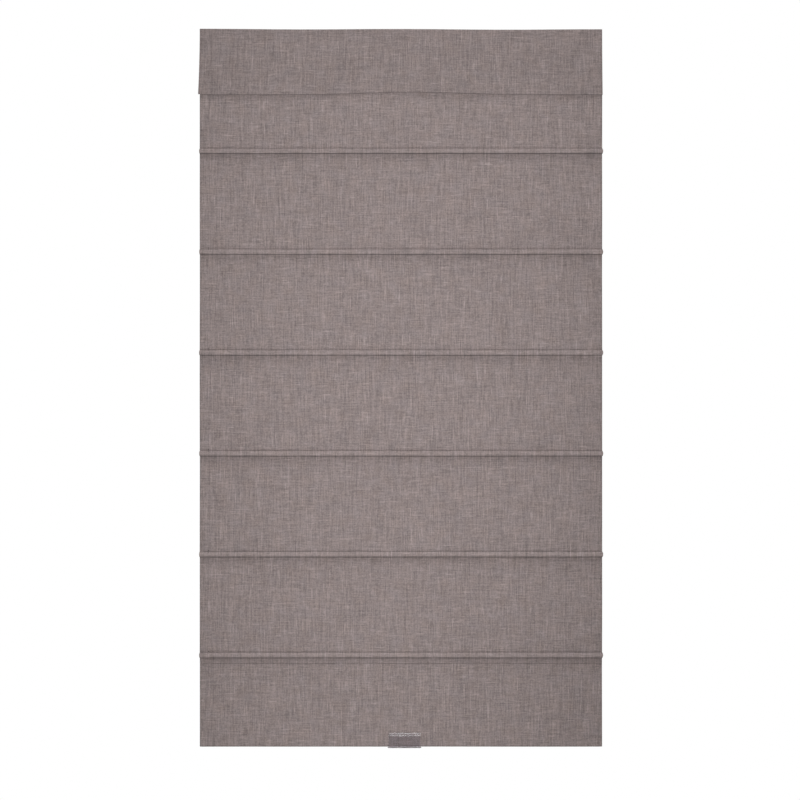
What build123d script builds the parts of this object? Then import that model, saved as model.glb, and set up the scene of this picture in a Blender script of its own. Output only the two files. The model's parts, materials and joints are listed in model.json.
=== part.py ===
from build123d import *
import os
from math import acos, atan2, cos, hypot, sin

# A cordless roman blind, hung on a wall or in a window recess.
# A sheet of cloth hangs from an aluminium headrail and has a row of sewn tucks, each holding a rod.
# Rings behind the tucks and anchors on the bottom hem lead two lift cords up to spools in the headrail.
# A spring on the spools' shaft carries the blind's weight, so the clear handle on its bottom hem lifts it.
# X runs along the blind, Y points into the wall, Z is up. The wall is the plane Y = 0.
# The origin is the centre of the four wall screw holes. All sizes are in millimetres.

# Overall sizes of the cloth
BLIND_WIDTH = 912.0
VALANCE_DROP = 146.0
FIRST_TUCK_DROP = 282.4  # from the valance's top to the lower edge of the first tuck
TUCK_PITCH = 228.6
TUCK_COUNT = 6
SKIRT_DROP = 201.6  # from the lowest tuck's edge to the bottom of the cloth

# Cloth, its tucks and its hems
CLOTH = 0.8
TUCK_DEPTH = 12.8  # from the stitch line to the tuck's lower edge
TUCK_OVERHANG = 1.6  # how far a tuck stands out past the side of the cloth
TUCK_GAP = 0.8  # between a tuck and the panel that hangs behind it
SEAM_HEIGHT = 1.6
PANEL_BELLY = 2.0
SIDE_HEM = 25.0
HEM_LAP_SHARE = 0.2  # share of the cloth's thickness by which the side hem is pressed into the panel
SKIRT_SEAM_DROP = 12.0  # from the lowest tuck's edge to the stitch line of the deep bottom hem
SKIRT_TURNING = 6.0  # cloth above that stitch line, on the back
SKIRT_BEND = 60.0
FOLD_RADIUS = 0.5
VALANCE_TOP_HEM = 30.0
VALANCE_BOTTOM_HEM = 25.0
VALANCE_COVER = 1.0  # how far the valance reaches above the brackets
SEW_GAP = 0.3  # between the cloth and a piece that is sewn or clipped on

# Hook and loop tapes
TAPE = 1.2
TAPE_HEIGHT = 20.0
TAPE_INSET = 6.0

# Rods in the tucks, their end plugs and the rings behind them
ROD_DIAMETER = 5.0
ROD_BORE = 3.0
ROD_FIT = 0.2
ROD_END_GAP = 0.6  # between a plug's end and the side of its tuck
PLUG_HEAD = 4.0
PLUG_NOSE = 1.2
PLUG_SPIGOT = 8.0
PLUG_FIT = 0.05
RING_DIAMETER = 14.0
RING_RIM = 2.0
RING_THICKNESS = 1.8

# Bottom bar and its end plugs
BAR_HEIGHT = 28.0
BAR_THICKNESS = 5.0
BAR_WALL = 1.0
BAR_FIT = 0.25
BAR_INSET = 3.0  # from the side of the cloth to the end plug's outer face
BAR_PLUG_HEAD = 3.0
BAR_PLUG_SPIGOT = 12.0

# Clear handle clipped round the bottom hem
HANDLE_WIDTH = 72.0
HANDLE_OFFSET = 8.0  # to the right of the blind's middle
HANDLE_HEIGHT = 33.4
HANDLE_BACK_HEIGHT = 24.0
HANDLE_WALL = 1.6
RIB_COUNT = 2  # grip ribs across the front, from the top down
RIB_PITCH = 4.6
RIB_HEIGHT = 2.4
RIB_RISE = 0.75  # how far a rib's lower edge stands out of the plate
LIP_REACH = 12.0
LIP_FLARE = 2.0  # how far the finger lip is wider than the plate, on each side
LIP_CORNER = 6.0

# The line of each lift cord, and the anchors that the cords are tied to on the bottom hem
CORD_DIAMETER = 1.4
CORD_INSET = 152.0  # from the side of the cloth
ANCHOR_DIAMETER = 6.0
ANCHOR_HEIGHT = 14.0
ANCHOR_BORE = 1.8
ANCHOR_PLATE = 1.0
ANCHOR_PLATE_WIDTH = 18.0
ANCHOR_PLATE_HEIGHT = 20.0
ANCHOR_CORNER = 3.0

# Headrail and its end caps
RAIL_WALL = 1.3
RAIL_LIP = 7.0
RAIL_CORNER = 3.0
LEAST_CORNER = 0.5
CAP_PLATE = 2.5
CAP_PLUG = 10.0
CAP_WALL = 1.6
CAP_FIT = 0.15
CAP_EDGE = 0.8

# Brackets
BRACKET_STEEL = 1.5
BRACKET_WIDTH = 38.0
BRACKET_INSET = 76.0  # from the side of the cloth to the bracket's middle
BRACKET_RISE = 17.0  # from the middle of the wall holes to the bracket's top
BRACKET_TAIL = 19.0  # from the middle of the wall holes to the bracket's lower edge
BRACKET_BEND = 3.0
BRACKET_CORNER = 5.0
BRACKET_SET_BACK = 4.0  # from the rail's front face to the bracket's front edge
SCREW_ROOM = 4.5  # for a screw head between the bracket and the rail
SCREW_HOLE = 4.6
WALL_HOLE_PITCH = 18.0
CEILING_HOLE_PITCH = 13.0
HOOK_WIDTH = 14.0
HOOK_TOE = 4.0
HOOK_FIT = 0.3

# Lift shaft, spools and their cradles
SHAFT_FLATS = 6.0
SHAFT_FIT = 0.05
SHAFT_TAIL = 3.0
SPOOL_BARREL = 18.0
SPOOL_BARREL_LENGTH = 36.0
SPOOL_CONE_LENGTH = 6.0
SPOOL_CONE_RISE = 1.0
SPOOL_FLANGE = 23.0
SPOOL_FLANGE_THICKNESS = 1.5
SPOOL_JOURNAL = 9.6
JOURNAL_FIT = 0.05
RUN_GAP = 0.6
CRADLE_FLOOR = 1.6
CRADLE_WALL = 1.4
CRADLE_END = 3.0
CRADLE_FIT = 0.2
COVER = 1.2
COVER_GAP = 0.2
EYELET_DIAMETER = 6.8
EYELET_BORE = 3.6
EYELET_DROP = 2.0  # below the rail

# Spring motor
SPRING_WIDTH = 18.0
SPRING_BAND = 0.15
SPRING_SLACK = 0.05
DRUM_SPACING = 15.0
DRUM_FLANGE = 14.2
DRUM_FLANGE_THICKNESS = 1.2
OUTPUT_CORE = 9.2
OUTPUT_JOURNAL = 8.4
OUTPUT_COIL = 13.4  # the spring's outside on the output drum, with the blind down
STORAGE_CORE = 7.2
STORAGE_JOURNAL = 5.0
STORAGE_COIL = 8.6

OVERRUN = 2.0  # how far a cut reaches past a face

# Places across the blind, first as distances behind the headrail's front face
cloth_behind = -2 * TAPE - CLOTH / 2
hem_loop_radius = BAR_THICKNESS / 2 + BAR_FIT + CLOTH / 2
skirt_behind = cloth_behind + 2 * CLOTH
hem_back_behind = skirt_behind + 2 * hem_loop_radius + CLOTH / 2
cord_behind = hem_back_behind + SEW_GAP + ANCHOR_DIAMETER / 2
shaft_behind = cord_behind + CORD_DIAMETER / 2 + SPOOL_BARREL / 2
storage_behind = shaft_behind + DRUM_SPACING
RAIL_DEPTH = storage_behind + DRUM_FLANGE / 2 + RUN_GAP + CRADLE_WALL + CRADLE_FIT + RAIL_WALL
RAIL_HEIGHT = 2 * RAIL_WALL + CRADLE_FLOOR + 2 * RUN_GAP + SPOOL_FLANGE + COVER + COVER_GAP

rail_back_y = -(BRACKET_STEEL + SCREW_ROOM)
rail_front_y = rail_back_y - RAIL_DEPTH
cloth_y = rail_front_y + cloth_behind
skirt_y = rail_front_y + skirt_behind
hem_front_y = skirt_y - CLOTH / 2
hem_back_y = rail_front_y + hem_back_behind
cord_y = rail_front_y + cord_behind
shaft_y = rail_front_y + shaft_behind
storage_y = rail_front_y + storage_behind
ring_y = cloth_y + 5 * CLOTH / 2 + SEW_GAP + RING_DIAMETER / 2
valance_back_y = cloth_y - CLOTH / 2 - 2 * TAPE

# Heights
bracket_top_z = BRACKET_RISE
rail_top_z = bracket_top_z - BRACKET_STEEL
rail_bottom_z = rail_top_z - RAIL_HEIGHT
rail_floor_z = rail_bottom_z + RAIL_WALL
shaft_z = rail_floor_z + CRADLE_FLOOR + RUN_GAP + SPOOL_FLANGE / 2
cradle_top_z = shaft_z + SPOOL_FLANGE / 2 + RUN_GAP
blind_top_z = bracket_top_z + VALANCE_COVER
tuck_edge_z = [blind_top_z - FIRST_TUCK_DROP - TUCK_PITCH * k for k in range(TUCK_COUNT)]
tuck_stitch_z = [z + TUCK_DEPTH for z in tuck_edge_z]
skirt_seam_z = tuck_edge_z[-1] - SKIRT_SEAM_DROP
blind_bottom_z = tuck_edge_z[-1] - SKIRT_DROP
bar_bottom_z = blind_bottom_z + CLOTH + BAR_FIT
bar_top_z = bar_bottom_z + BAR_HEIGHT
anchor_top_z = bar_top_z
tape_top_z = rail_top_z - RAIL_WALL

# Places along the blind
half_width = BLIND_WIDTH / 2
rail_half = half_width - CAP_PLATE
cord_x = half_width - CORD_INSET
bracket_x = half_width - BRACKET_INSET
sides = {"left": -1, "right": 1}

# A tuck seen from the side: places are (forward of the cloth, above the stitch line)
rod_pocket_radius = ROD_DIAMETER / 2 + ROD_FIT
tuck_loop_radius = rod_pocket_radius + CLOTH / 2
tuck_outer_radius = rod_pocket_radius + CLOTH
rod_forward = tuck_outer_radius - 3 * CLOTH / 2 + TUCK_GAP
rod_below = TUCK_DEPTH - tuck_outer_radius
rod_y = cloth_y - rod_forward
rod_z = [z - rod_below for z in tuck_stitch_z]


def rectangle_between(low, high):
    """A flat rectangle from its lowest to its highest corner."""
    middle = [(a + b) / 2 for a, b in zip(low, high)]
    return Pos(*middle) * Rectangle(high[0] - low[0], high[1] - low[1])


def box_between(low, high):
    """A box from its lowest to its highest corner."""
    middle = [(a + b) / 2 for a, b in zip(low, high)]
    return Pos(*middle) * Box(*[b - a for a, b in zip(low, high)])


def along_x(profile, start, end):
    """A profile drawn in Y and Z, drawn out along the blind."""
    return Pos(start, 0, 0) * extrude(Plane.YZ * profile, end - start)


def turned(outline, y, z, x=0):
    """A turned piece on an axis along the blind; outline points are (along, radius)."""
    return Pos(x, y, z) * revolve(make_face(Polyline(*outline, close=True)), Axis.X)


def hexagon(flats):
    return RegularPolygon(flats / 2, 6, major_radius=False)


# Cloth


def tangent_point(point, centre, radius, turn):
    """Where a line from a point touches a circle, on one side or the other."""
    across, up = point[0] - centre[0], point[1] - centre[1]
    angle = atan2(up, across) + turn * acos(radius / hypot(across, up))
    return centre[0] + radius * cos(angle), centre[1] + radius * sin(angle)


def seam_block(front_y, back_y, z):
    """Layers of cloth that a line of stitches holds flat together."""
    return rectangle_between((front_y, z - SEAM_HEIGHT / 2), (back_y, z + SEAM_HEIGHT / 2))


def tuck_profile(stitch_z):
    """A loop of cloth round its rod, closed at the stitch line."""
    front = (cloth_y, stitch_z)
    back = (cloth_y + CLOTH, stitch_z)
    centre = (rod_y, stitch_z - rod_below)
    front_touch = tangent_point(front, centre, tuck_loop_radius, 1)
    back_touch = tangent_point(back, centre, tuck_loop_radius, -1)
    under = (centre[0], centre[1] - tuck_loop_radius)
    loop = Line(front, front_touch) + ThreePointArc(front_touch, under, back_touch) + Line(back_touch, back)
    seam = seam_block(cloth_y - CLOTH / 2, cloth_y + 5 * CLOTH / 2, stitch_z)
    return trace(loop, CLOTH) + seam


def panel_path(upper_z, lower_z, behind=0):
    """The line of a panel from under one tuck to the stitch line of the next."""
    top = (cloth_y + 2 * CLOTH + behind, upper_z)
    bottom = (cloth_y + behind, lower_z)
    middle = (cloth_y + CLOTH + behind - PANEL_BELLY, (upper_z + lower_z) / 2)
    return ThreePointArc(top, middle, bottom)


def heading_path(top_z, behind=0):
    """The flat top of the cloth, from its upper edge to the first stitch line."""
    return Line((cloth_y + behind, top_z), (cloth_y + behind, tuck_stitch_z[0]))


def skirt_profile():
    """The deep bottom hem: down the front, round the bar and up the back to its stitch line."""
    loop_z = blind_bottom_z + CLOTH / 2 + hem_loop_radius
    back_y = skirt_y + 2 * hem_loop_radius
    front = Line((skirt_y, tuck_stitch_z[-1]), (skirt_y, loop_z))
    under = ThreePointArc(
        (skirt_y, loop_z), (skirt_y + hem_loop_radius, loop_z - hem_loop_radius), (back_y, loop_z)
    )
    lap_y = skirt_y + CLOTH
    back = FilletPolyline(
        (back_y, loop_z),
        (back_y, bar_top_z + BAR_THICKNESS),
        (lap_y, skirt_seam_z),
        (lap_y, skirt_seam_z + SKIRT_TURNING),
        radius=SKIRT_BEND,
    )
    seam = seam_block(skirt_y - CLOTH / 2, lap_y + CLOTH / 2, skirt_seam_z)
    return trace(front, CLOTH) + trace(under, CLOTH) + trace(back, CLOTH) + seam


def shade_cloth():
    """One sheet of cloth with its tucks, its side hems and its deep bottom hem."""
    heading_top = tape_top_z
    spans = list(zip(tuck_stitch_z, tuck_stitch_z[1:]))
    flat = trace(heading_path(heading_top), CLOTH) + [trace(panel_path(*s), CLOTH) for s in spans]
    sheet = along_x(flat, -half_width, half_width) + along_x(skirt_profile(), -half_width, half_width)
    tuck_half = half_width + TUCK_OVERHANG
    tucks = [along_x(tuck_profile(z), -tuck_half, tuck_half) for z in tuck_stitch_z]
    lap = CLOTH * (1 - HEM_LAP_SHARE)
    heading_hem = trace(heading_path(rail_bottom_z, lap), CLOTH)
    hems = Sketch() + [heading_hem] + [trace(panel_path(*s, lap), CLOTH) for s in spans]
    left_hem = along_x(hems, -half_width, SIDE_HEM - half_width)
    right_hem = along_x(hems, half_width - SIDE_HEM, half_width)
    return sheet + tucks + left_hem + right_hem


def valance():
    """The flap in front of the headrail, folded over at its top and hemmed at its bottom."""
    back_y = valance_back_y - CLOTH / 2
    front_y = back_y - 2 * FOLD_RADIUS
    top_z = blind_top_z - CLOTH / 2 - FOLD_RADIUS
    bottom_z = blind_top_z - VALANCE_DROP + CLOTH / 2 + FOLD_RADIUS
    middle_y = (front_y + back_y) / 2
    path = (
        Line((back_y, top_z - VALANCE_TOP_HEM), (back_y, top_z))
        + ThreePointArc((back_y, top_z), (middle_y, top_z + FOLD_RADIUS), (front_y, top_z))
        + Line((front_y, top_z), (front_y, bottom_z))
        + ThreePointArc((front_y, bottom_z), (middle_y, bottom_z - FOLD_RADIUS), (back_y, bottom_z))
        + Line((back_y, bottom_z), (back_y, bottom_z + VALANCE_BOTTOM_HEM))
    )
    seam_ends = (front_y - CLOTH / 2, back_y + CLOTH / 2)
    top_seam = seam_block(*seam_ends, top_z - VALANCE_TOP_HEM + SEAM_HEIGHT)
    bottom_seam = seam_block(*seam_ends, bottom_z + VALANCE_BOTTOM_HEM - SEAM_HEIGHT)
    return along_x(trace(path, CLOTH) + top_seam + bottom_seam, -half_width, half_width)


def tape(front_y):
    """A strip of hook or loop tape."""
    end = half_width - TAPE_INSET
    return box_between((-end, front_y, tape_top_z - TAPE_HEIGHT), (end, front_y + TAPE, tape_top_z))


# Rods, rings and the bottom bar


def rod(z):
    """A hollow rod that lies in a tuck."""
    end = half_width + TUCK_OVERHANG - ROD_END_GAP - PLUG_HEAD
    tube = Pos(rod_y, z) * (Circle(ROD_DIAMETER / 2) - Circle(ROD_BORE / 2))
    return along_x(tube, -end, end)


def rod_plug(z, side):
    """A plug with a bevelled nose in one end of a rod."""
    end = half_width + TUCK_OVERHANG - ROD_END_GAP
    head = ROD_DIAMETER / 2
    spigot = ROD_BORE / 2 - PLUG_FIT
    outline = [
        (-PLUG_HEAD - PLUG_SPIGOT, 0),
        (-PLUG_HEAD - PLUG_SPIGOT, spigot),
        (-PLUG_HEAD, spigot),
        (-PLUG_HEAD, head),
        (-PLUG_NOSE, head),
        (0, head - PLUG_NOSE),
        (0, 0),
    ]
    plug = turned(outline, rod_y, z, end)
    return plug if side > 0 else mirror(plug, Plane.YZ)


def ring(side, z):
    """A moulded ring sewn behind a tuck, which leads a lift cord."""
    rim = Circle(RING_DIAMETER / 2) - Circle(RING_DIAMETER / 2 - RING_RIM)
    return Pos(side * cord_x, ring_y, z) * extrude(rim, RING_THICKNESS / 2, both=True)


def flat_oval(height, thickness):
    return Rot(0, 0, 90) * SlotOverall(height, thickness)


bar_middle = (skirt_y + hem_loop_radius, (bar_bottom_z + bar_top_z) / 2)


def bottom_bar():
    """The hollow bar in the bottom hem."""
    end = half_width - BAR_INSET - BAR_PLUG_HEAD
    outline = flat_oval(BAR_HEIGHT, BAR_THICKNESS)
    bore = flat_oval(BAR_HEIGHT - 2 * BAR_WALL, BAR_THICKNESS - 2 * BAR_WALL)
    return along_x(Pos(*bar_middle) * (outline - bore), -end, end)


def bottom_bar_plug(side):
    """A plug in one end of the bottom bar."""
    end = half_width - BAR_INSET
    seat = end - BAR_PLUG_HEAD
    inside = 2 * (BAR_WALL + PLUG_FIT)
    spigot = flat_oval(BAR_HEIGHT - inside, BAR_THICKNESS - inside)
    plug = along_x(Pos(*bar_middle) * flat_oval(BAR_HEIGHT, BAR_THICKNESS), seat, end)
    plug += along_x(Pos(*bar_middle) * spigot, seat - BAR_PLUG_SPIGOT, seat)
    return plug if side > 0 else mirror(plug, Plane.YZ)


def grip_rib(front_y, top_z):
    """A rib in section: its face leans out from the plate and steps back below."""
    tip_z = top_z - RIB_HEIGHT
    root_y = front_y + HANDLE_WALL / 2
    corners = [(root_y, top_z), (front_y, top_z), (front_y - RIB_RISE, tip_z), (root_y, tip_z)]
    return make_face(Polyline(*corners, close=True))


def lift_handle():
    """The clear handle: a clip round the bottom hem with grip ribs at its top and a finger lip below."""
    inner_front = hem_front_y - SEW_GAP
    inner_back = hem_back_y + SEW_GAP
    inner_bottom = blind_bottom_z - SEW_GAP
    outer_bottom = inner_bottom - HANDLE_WALL
    plate_top = outer_bottom + HANDLE_HEIGHT
    outer_front = inner_front - HANDLE_WALL
    outer_back = inner_back + HANDLE_WALL
    outer = rectangle_between((outer_front, outer_bottom), (outer_back, plate_top))
    inner = rectangle_between((inner_front, inner_bottom), (inner_back, plate_top + OVERRUN))
    hollow_radius = hem_loop_radius + CLOTH / 2
    inner = fillet(inner.vertices().group_by(Axis.Y)[0], hollow_radius)
    outer = fillet(outer.vertices().group_by(Axis.Y)[0], hollow_radius + HANDLE_WALL)
    back_top = outer_bottom + HANDLE_BACK_HEIGHT
    back_cut = rectangle_between((inner_front, back_top), (outer_back + OVERRUN, plate_top + OVERRUN))
    ribs = Sketch() + [grip_rib(outer_front, plate_top - RIB_PITCH * k) for k in range(RIB_COUNT)]
    half = HANDLE_WIDTH / 2
    clip = along_x(outer - inner - back_cut + ribs, -half, half)
    lip_back = inner_front + hollow_radius
    lip_front = outer_front - LIP_REACH
    lip_length = HANDLE_WIDTH + 2 * LIP_FLARE
    plan = Pos(0, (lip_front + lip_back) / 2) * Rectangle(lip_length, lip_back - lip_front)
    plan = fillet(plan.vertices().group_by(Axis.Y)[0], LIP_CORNER)
    lip = Pos(0, 0, outer_bottom) * extrude(plan, HANDLE_WALL)
    return Pos(HANDLE_OFFSET, 0, 0) * (clip + lip)


def cord_anchor(side):
    """An anchor sewn on the back of the bottom hem, with a bore that a lift cord is tied through."""
    boss = Cylinder(ANCHOR_DIAMETER / 2, ANCHOR_HEIGHT)
    plate = Pos(0, ANCHOR_PLATE / 2 - ANCHOR_DIAMETER / 2) * Box(
        ANCHOR_PLATE_WIDTH, ANCHOR_PLATE, ANCHOR_PLATE_HEIGHT
    )
    plate = fillet(plate.edges().filter_by(Axis.Y), ANCHOR_CORNER)
    bore = Cylinder(ANCHOR_BORE / 2, ANCHOR_PLATE_HEIGHT)
    middle_z = anchor_top_z - ANCHOR_HEIGHT / 2
    return Pos(side * cord_x, cord_y, middle_z) * (boss + plate - bore)


# Headrail


def rail_outline(inset=0):
    """The outside of the headrail in section, or that outline drawn in by an inset."""
    low = (rail_front_y + inset, rail_bottom_z + inset)
    high = (rail_back_y - inset, rail_top_z - inset)
    outline = rectangle_between(low, high)
    return fillet(outline.vertices().group_by(Axis.Y)[0], max(RAIL_CORNER - inset, LEAST_CORNER))


def headrail_channel():
    """An extruded channel, open on top between two lips, with an eyelet hole for each cord."""
    slot = rectangle_between(
        (rail_front_y + RAIL_LIP, shaft_z), (rail_back_y - RAIL_LIP, rail_top_z + OVERRUN)
    )
    channel = along_x(rail_outline() - rail_outline(RAIL_WALL) - slot, -rail_half, rail_half)
    hole = Cylinder(EYELET_DIAMETER / 2 + CRADLE_FIT, RAIL_HEIGHT)
    return channel - [Pos(side * cord_x, cord_y, rail_bottom_z) * hole for side in sides.values()]


def end_cap(side):
    """A moulded cap that closes one end of the headrail."""
    edge = RAIL_WALL + CAP_FIT
    plate = along_x(rail_outline(), rail_half, half_width)
    plate = fillet(plate.faces().sort_by(Axis.X)[-1].edges(), CAP_EDGE)
    plug = along_x(rail_outline(edge) - rail_outline(edge + CAP_WALL), rail_half - CAP_PLUG, rail_half)
    cap = plate + plug
    return cap if side > 0 else mirror(cap, Plane.YZ)


def screw_holes(places, axis):
    """Cutters for screw holes, on an axis through the sheet."""
    turn = {"Y": Rot(90, 0, 0), "Z": Rot(0, 0, 0)}[axis]
    return [Pos(*place) * turn * Cylinder(SCREW_HOLE / 2, 2 * OVERRUN + BRACKET_STEEL) for place in places]


wall_hole_z = [WALL_HOLE_PITCH / 2, -WALL_HOLE_PITCH / 2]
ceiling_middle_y = (rail_front_y + rail_back_y) / 2
ceiling_hole_y = [ceiling_middle_y + CEILING_HOLE_PITCH / 2, ceiling_middle_y - CEILING_HOLE_PITCH / 2]


def bracket(side):
    """A pressed steel bracket: a wall flange, a top flange and two hooks that grip the rail's lips."""
    x = side * bracket_x
    half = BRACKET_WIDTH / 2
    front_y = rail_front_y + BRACKET_SET_BACK
    flanges = rectangle_between((-BRACKET_STEEL, -BRACKET_TAIL), (0, bracket_top_z))
    flanges += rectangle_between((front_y, rail_top_z), (0, bracket_top_z))
    flanges = fillet(flanges.vertices().sort_by_distance((0, bracket_top_z))[0], BRACKET_BEND)
    inside = flanges.vertices().sort_by_distance((-BRACKET_STEEL, rail_top_z))[0]
    flanges = fillet(inside, BRACKET_BEND - BRACKET_STEEL)
    body = along_x(flanges, x - half, x + half)
    wall_corners = body.edges().filter_by(Axis.Y).group_by(Axis.Z)[0]
    ceiling_corners = body.edges().filter_by(Axis.Z).group_by(Axis.Y)[0]
    body = fillet(wall_corners + ceiling_corners, BRACKET_CORNER)
    toe_z = rail_top_z - RAIL_WALL
    hooks = Sketch()
    for lip_end, inward in ((rail_front_y + RAIL_LIP, 1), (rail_back_y - RAIL_LIP, -1)):
        leg_near = lip_end + inward * HOOK_FIT
        leg_far = leg_near + inward * BRACKET_STEEL
        toe_end = lip_end - inward * HOOK_TOE
        hooks += rectangle_between(
            (min(leg_near, leg_far), toe_z - BRACKET_STEEL), (max(leg_near, leg_far), rail_top_z)
        )
        hooks += rectangle_between(
            (min(toe_end, leg_far), toe_z - BRACKET_STEEL), (max(toe_end, leg_far), toe_z)
        )
    body += along_x(hooks, x - HOOK_WIDTH / 2, x + HOOK_WIDTH / 2)
    wall_places = [(x, -BRACKET_STEEL / 2, z) for z in wall_hole_z]
    ceiling_places = [(x, y, bracket_top_z - BRACKET_STEEL / 2) for y in ceiling_hole_y]
    return body - screw_holes(wall_places, "Y") - screw_holes(ceiling_places, "Z")


# Spools, spring and their housings


def journal_tray(x, length, journals):
    """A moulded tray across the inside of the rail; journals are (y, diameter) of the slots in its ends."""
    half = length / 2
    front_y = rail_front_y + RAIL_WALL + CRADLE_FIT
    back_y = rail_back_y - RAIL_WALL - CRADLE_FIT
    outside = rectangle_between((front_y, rail_floor_z), (back_y, cradle_top_z))
    outside = fillet(outside.vertices().group_by(Axis.Y)[0], RAIL_CORNER - RAIL_WALL)
    inside = rectangle_between(
        (front_y + CRADLE_WALL, rail_floor_z + CRADLE_FLOOR), (back_y - CRADLE_WALL, cradle_top_z + OVERRUN)
    )
    tray = along_x(outside, x - half, x + half)
    tray -= along_x(inside, x - half + CRADLE_END, x + half - CRADLE_END)
    for y, diameter in journals:
        radius = diameter / 2 + JOURNAL_FIT
        slot = Pos(y, shaft_z) * Circle(radius)
        slot += rectangle_between((y - radius, shaft_z), (y + radius, cradle_top_z + OVERRUN))
        tray -= along_x(slot, x - half - OVERRUN, x + half + OVERRUN)
    return tray


def journal_cover(x, length, journals):
    """A lid on a tray, with tongues that fill the slots above the journals."""
    half = length / 2
    front_y = rail_front_y + RAIL_WALL + CRADLE_FIT
    back_y = rail_back_y - RAIL_WALL - CRADLE_FIT
    lid = box_between((x - half, front_y, cradle_top_z), (x + half, back_y, cradle_top_z + COVER))
    for y, diameter in journals:
        reach = diameter / 2 - CRADLE_FIT
        tongue_z = shaft_z + diameter / 2 + CRADLE_FIT
        for end in (x - half, x + half - CRADLE_END):
            lid += box_between((end, y - reach, tongue_z), (end + CRADLE_END, y + reach, cradle_top_z))
    return lid


spool_length = SPOOL_BARREL_LENGTH + SPOOL_CONE_LENGTH + 2 * SPOOL_FLANGE_THICKNESS
cradle_length = spool_length + 2 * RUN_GAP + 2 * CRADLE_END
spool_journals = [(shaft_y, SPOOL_JOURNAL)]
drum_length = SPRING_WIDTH + 2 * RUN_GAP + 2 * DRUM_FLANGE_THICKNESS
motor_length = drum_length + 2 * RUN_GAP + 2 * CRADLE_END
motor_journals = [(shaft_y, OUTPUT_JOURNAL), (storage_y, STORAGE_JOURNAL)]


def spool_cradle(side):
    """The tray that a spool turns in, with an eyelet that leads the cord out under the rail."""
    x = side * cord_x
    tray = journal_tray(x, cradle_length, spool_journals)
    eyelet_top = rail_floor_z + CRADLE_FLOOR
    eyelet_bottom = rail_bottom_z - EYELET_DROP
    eyelet = Pos(x, cord_y, (eyelet_top + eyelet_bottom) / 2)
    tray += eyelet * Cylinder(EYELET_DIAMETER / 2, eyelet_top - eyelet_bottom)
    return tray - eyelet * Cylinder(EYELET_BORE / 2, eyelet_top - eyelet_bottom + OVERRUN)


def cord_spool(side):
    """A spool with a cone that pushes the turns of cord along its barrel."""
    barrel = SPOOL_BARREL / 2
    flange = SPOOL_FLANGE / 2
    journal = SPOOL_JOURNAL / 2
    half = spool_length / 2
    end = cradle_length / 2
    cone_start = half - SPOOL_FLANGE_THICKNESS - SPOOL_CONE_LENGTH
    outline = [
        (-end, 0),
        (-end, journal),
        (-half, journal),
        (-half, flange),
        (SPOOL_FLANGE_THICKNESS - half, flange),
        (SPOOL_FLANGE_THICKNESS - half, barrel),
        (cone_start, barrel),
        (half - SPOOL_FLANGE_THICKNESS, barrel + SPOOL_CONE_RISE),
        (half - SPOOL_FLANGE_THICKNESS, flange),
        (half, flange),
        (half, journal),
        (end, journal),
        (end, 0),
    ]
    x = side * cord_x
    bore = along_x(Pos(shaft_y, shaft_z) * hexagon(SHAFT_FLATS + 2 * SHAFT_FIT), x - end, x + end)
    return turned(outline, shaft_y, shaft_z, x) - bore


def lift_shaft():
    """The hexagon bar that joins the spools and the spring's output drum."""
    end = cord_x + cradle_length / 2 + SHAFT_TAIL
    return along_x(Pos(shaft_y, shaft_z) * hexagon(SHAFT_FLATS), -end, end)


def spring_drum(core, journal, y):
    """A flanged drum that turns in the motor's housing."""
    half = drum_length / 2
    end = motor_length / 2
    flange = half - DRUM_FLANGE_THICKNESS
    outline = [
        (-end, 0),
        (-end, journal / 2),
        (-half, journal / 2),
        (-half, DRUM_FLANGE / 2),
        (-flange, DRUM_FLANGE / 2),
        (-flange, core / 2),
        (flange, core / 2),
        (flange, DRUM_FLANGE / 2),
        (half, DRUM_FLANGE / 2),
        (half, journal / 2),
        (end, journal / 2),
        (end, 0),
    ]
    return turned(outline, y, shaft_z)


def output_drum():
    """The drum on the lift shaft."""
    end = motor_length / 2
    bore = along_x(Pos(shaft_y, shaft_z) * hexagon(SHAFT_FLATS + 2 * SHAFT_FIT), -end, end)
    return spring_drum(OUTPUT_CORE, OUTPUT_JOURNAL, shaft_y) - bore


def spring_band():
    """The flat spring: a coil on each drum and the run that crosses from one to the other."""
    radii = {shaft_y: OUTPUT_COIL / 2, storage_y: STORAGE_COIL / 2}
    cores = {shaft_y: OUTPUT_CORE / 2, storage_y: STORAGE_CORE / 2}
    coils = Sketch()
    for y, radius in radii.items():
        coils += Pos(y, shaft_z) * (Circle(radius) - Circle(cores[y] + SPRING_SLACK))
    output_run, storage_run = (radius - SPRING_BAND / 2 for radius in radii.values())
    lean = acos((output_run + storage_run) / DRUM_SPACING)
    start = (shaft_y + output_run * cos(lean), shaft_z + output_run * sin(lean))
    end = (storage_y - storage_run * cos(lean), shaft_z - storage_run * sin(lean))
    half = SPRING_WIDTH / 2
    return along_x(coils + trace(Line(start, end), SPRING_BAND), -half, half)


# Every piece by its name

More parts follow.
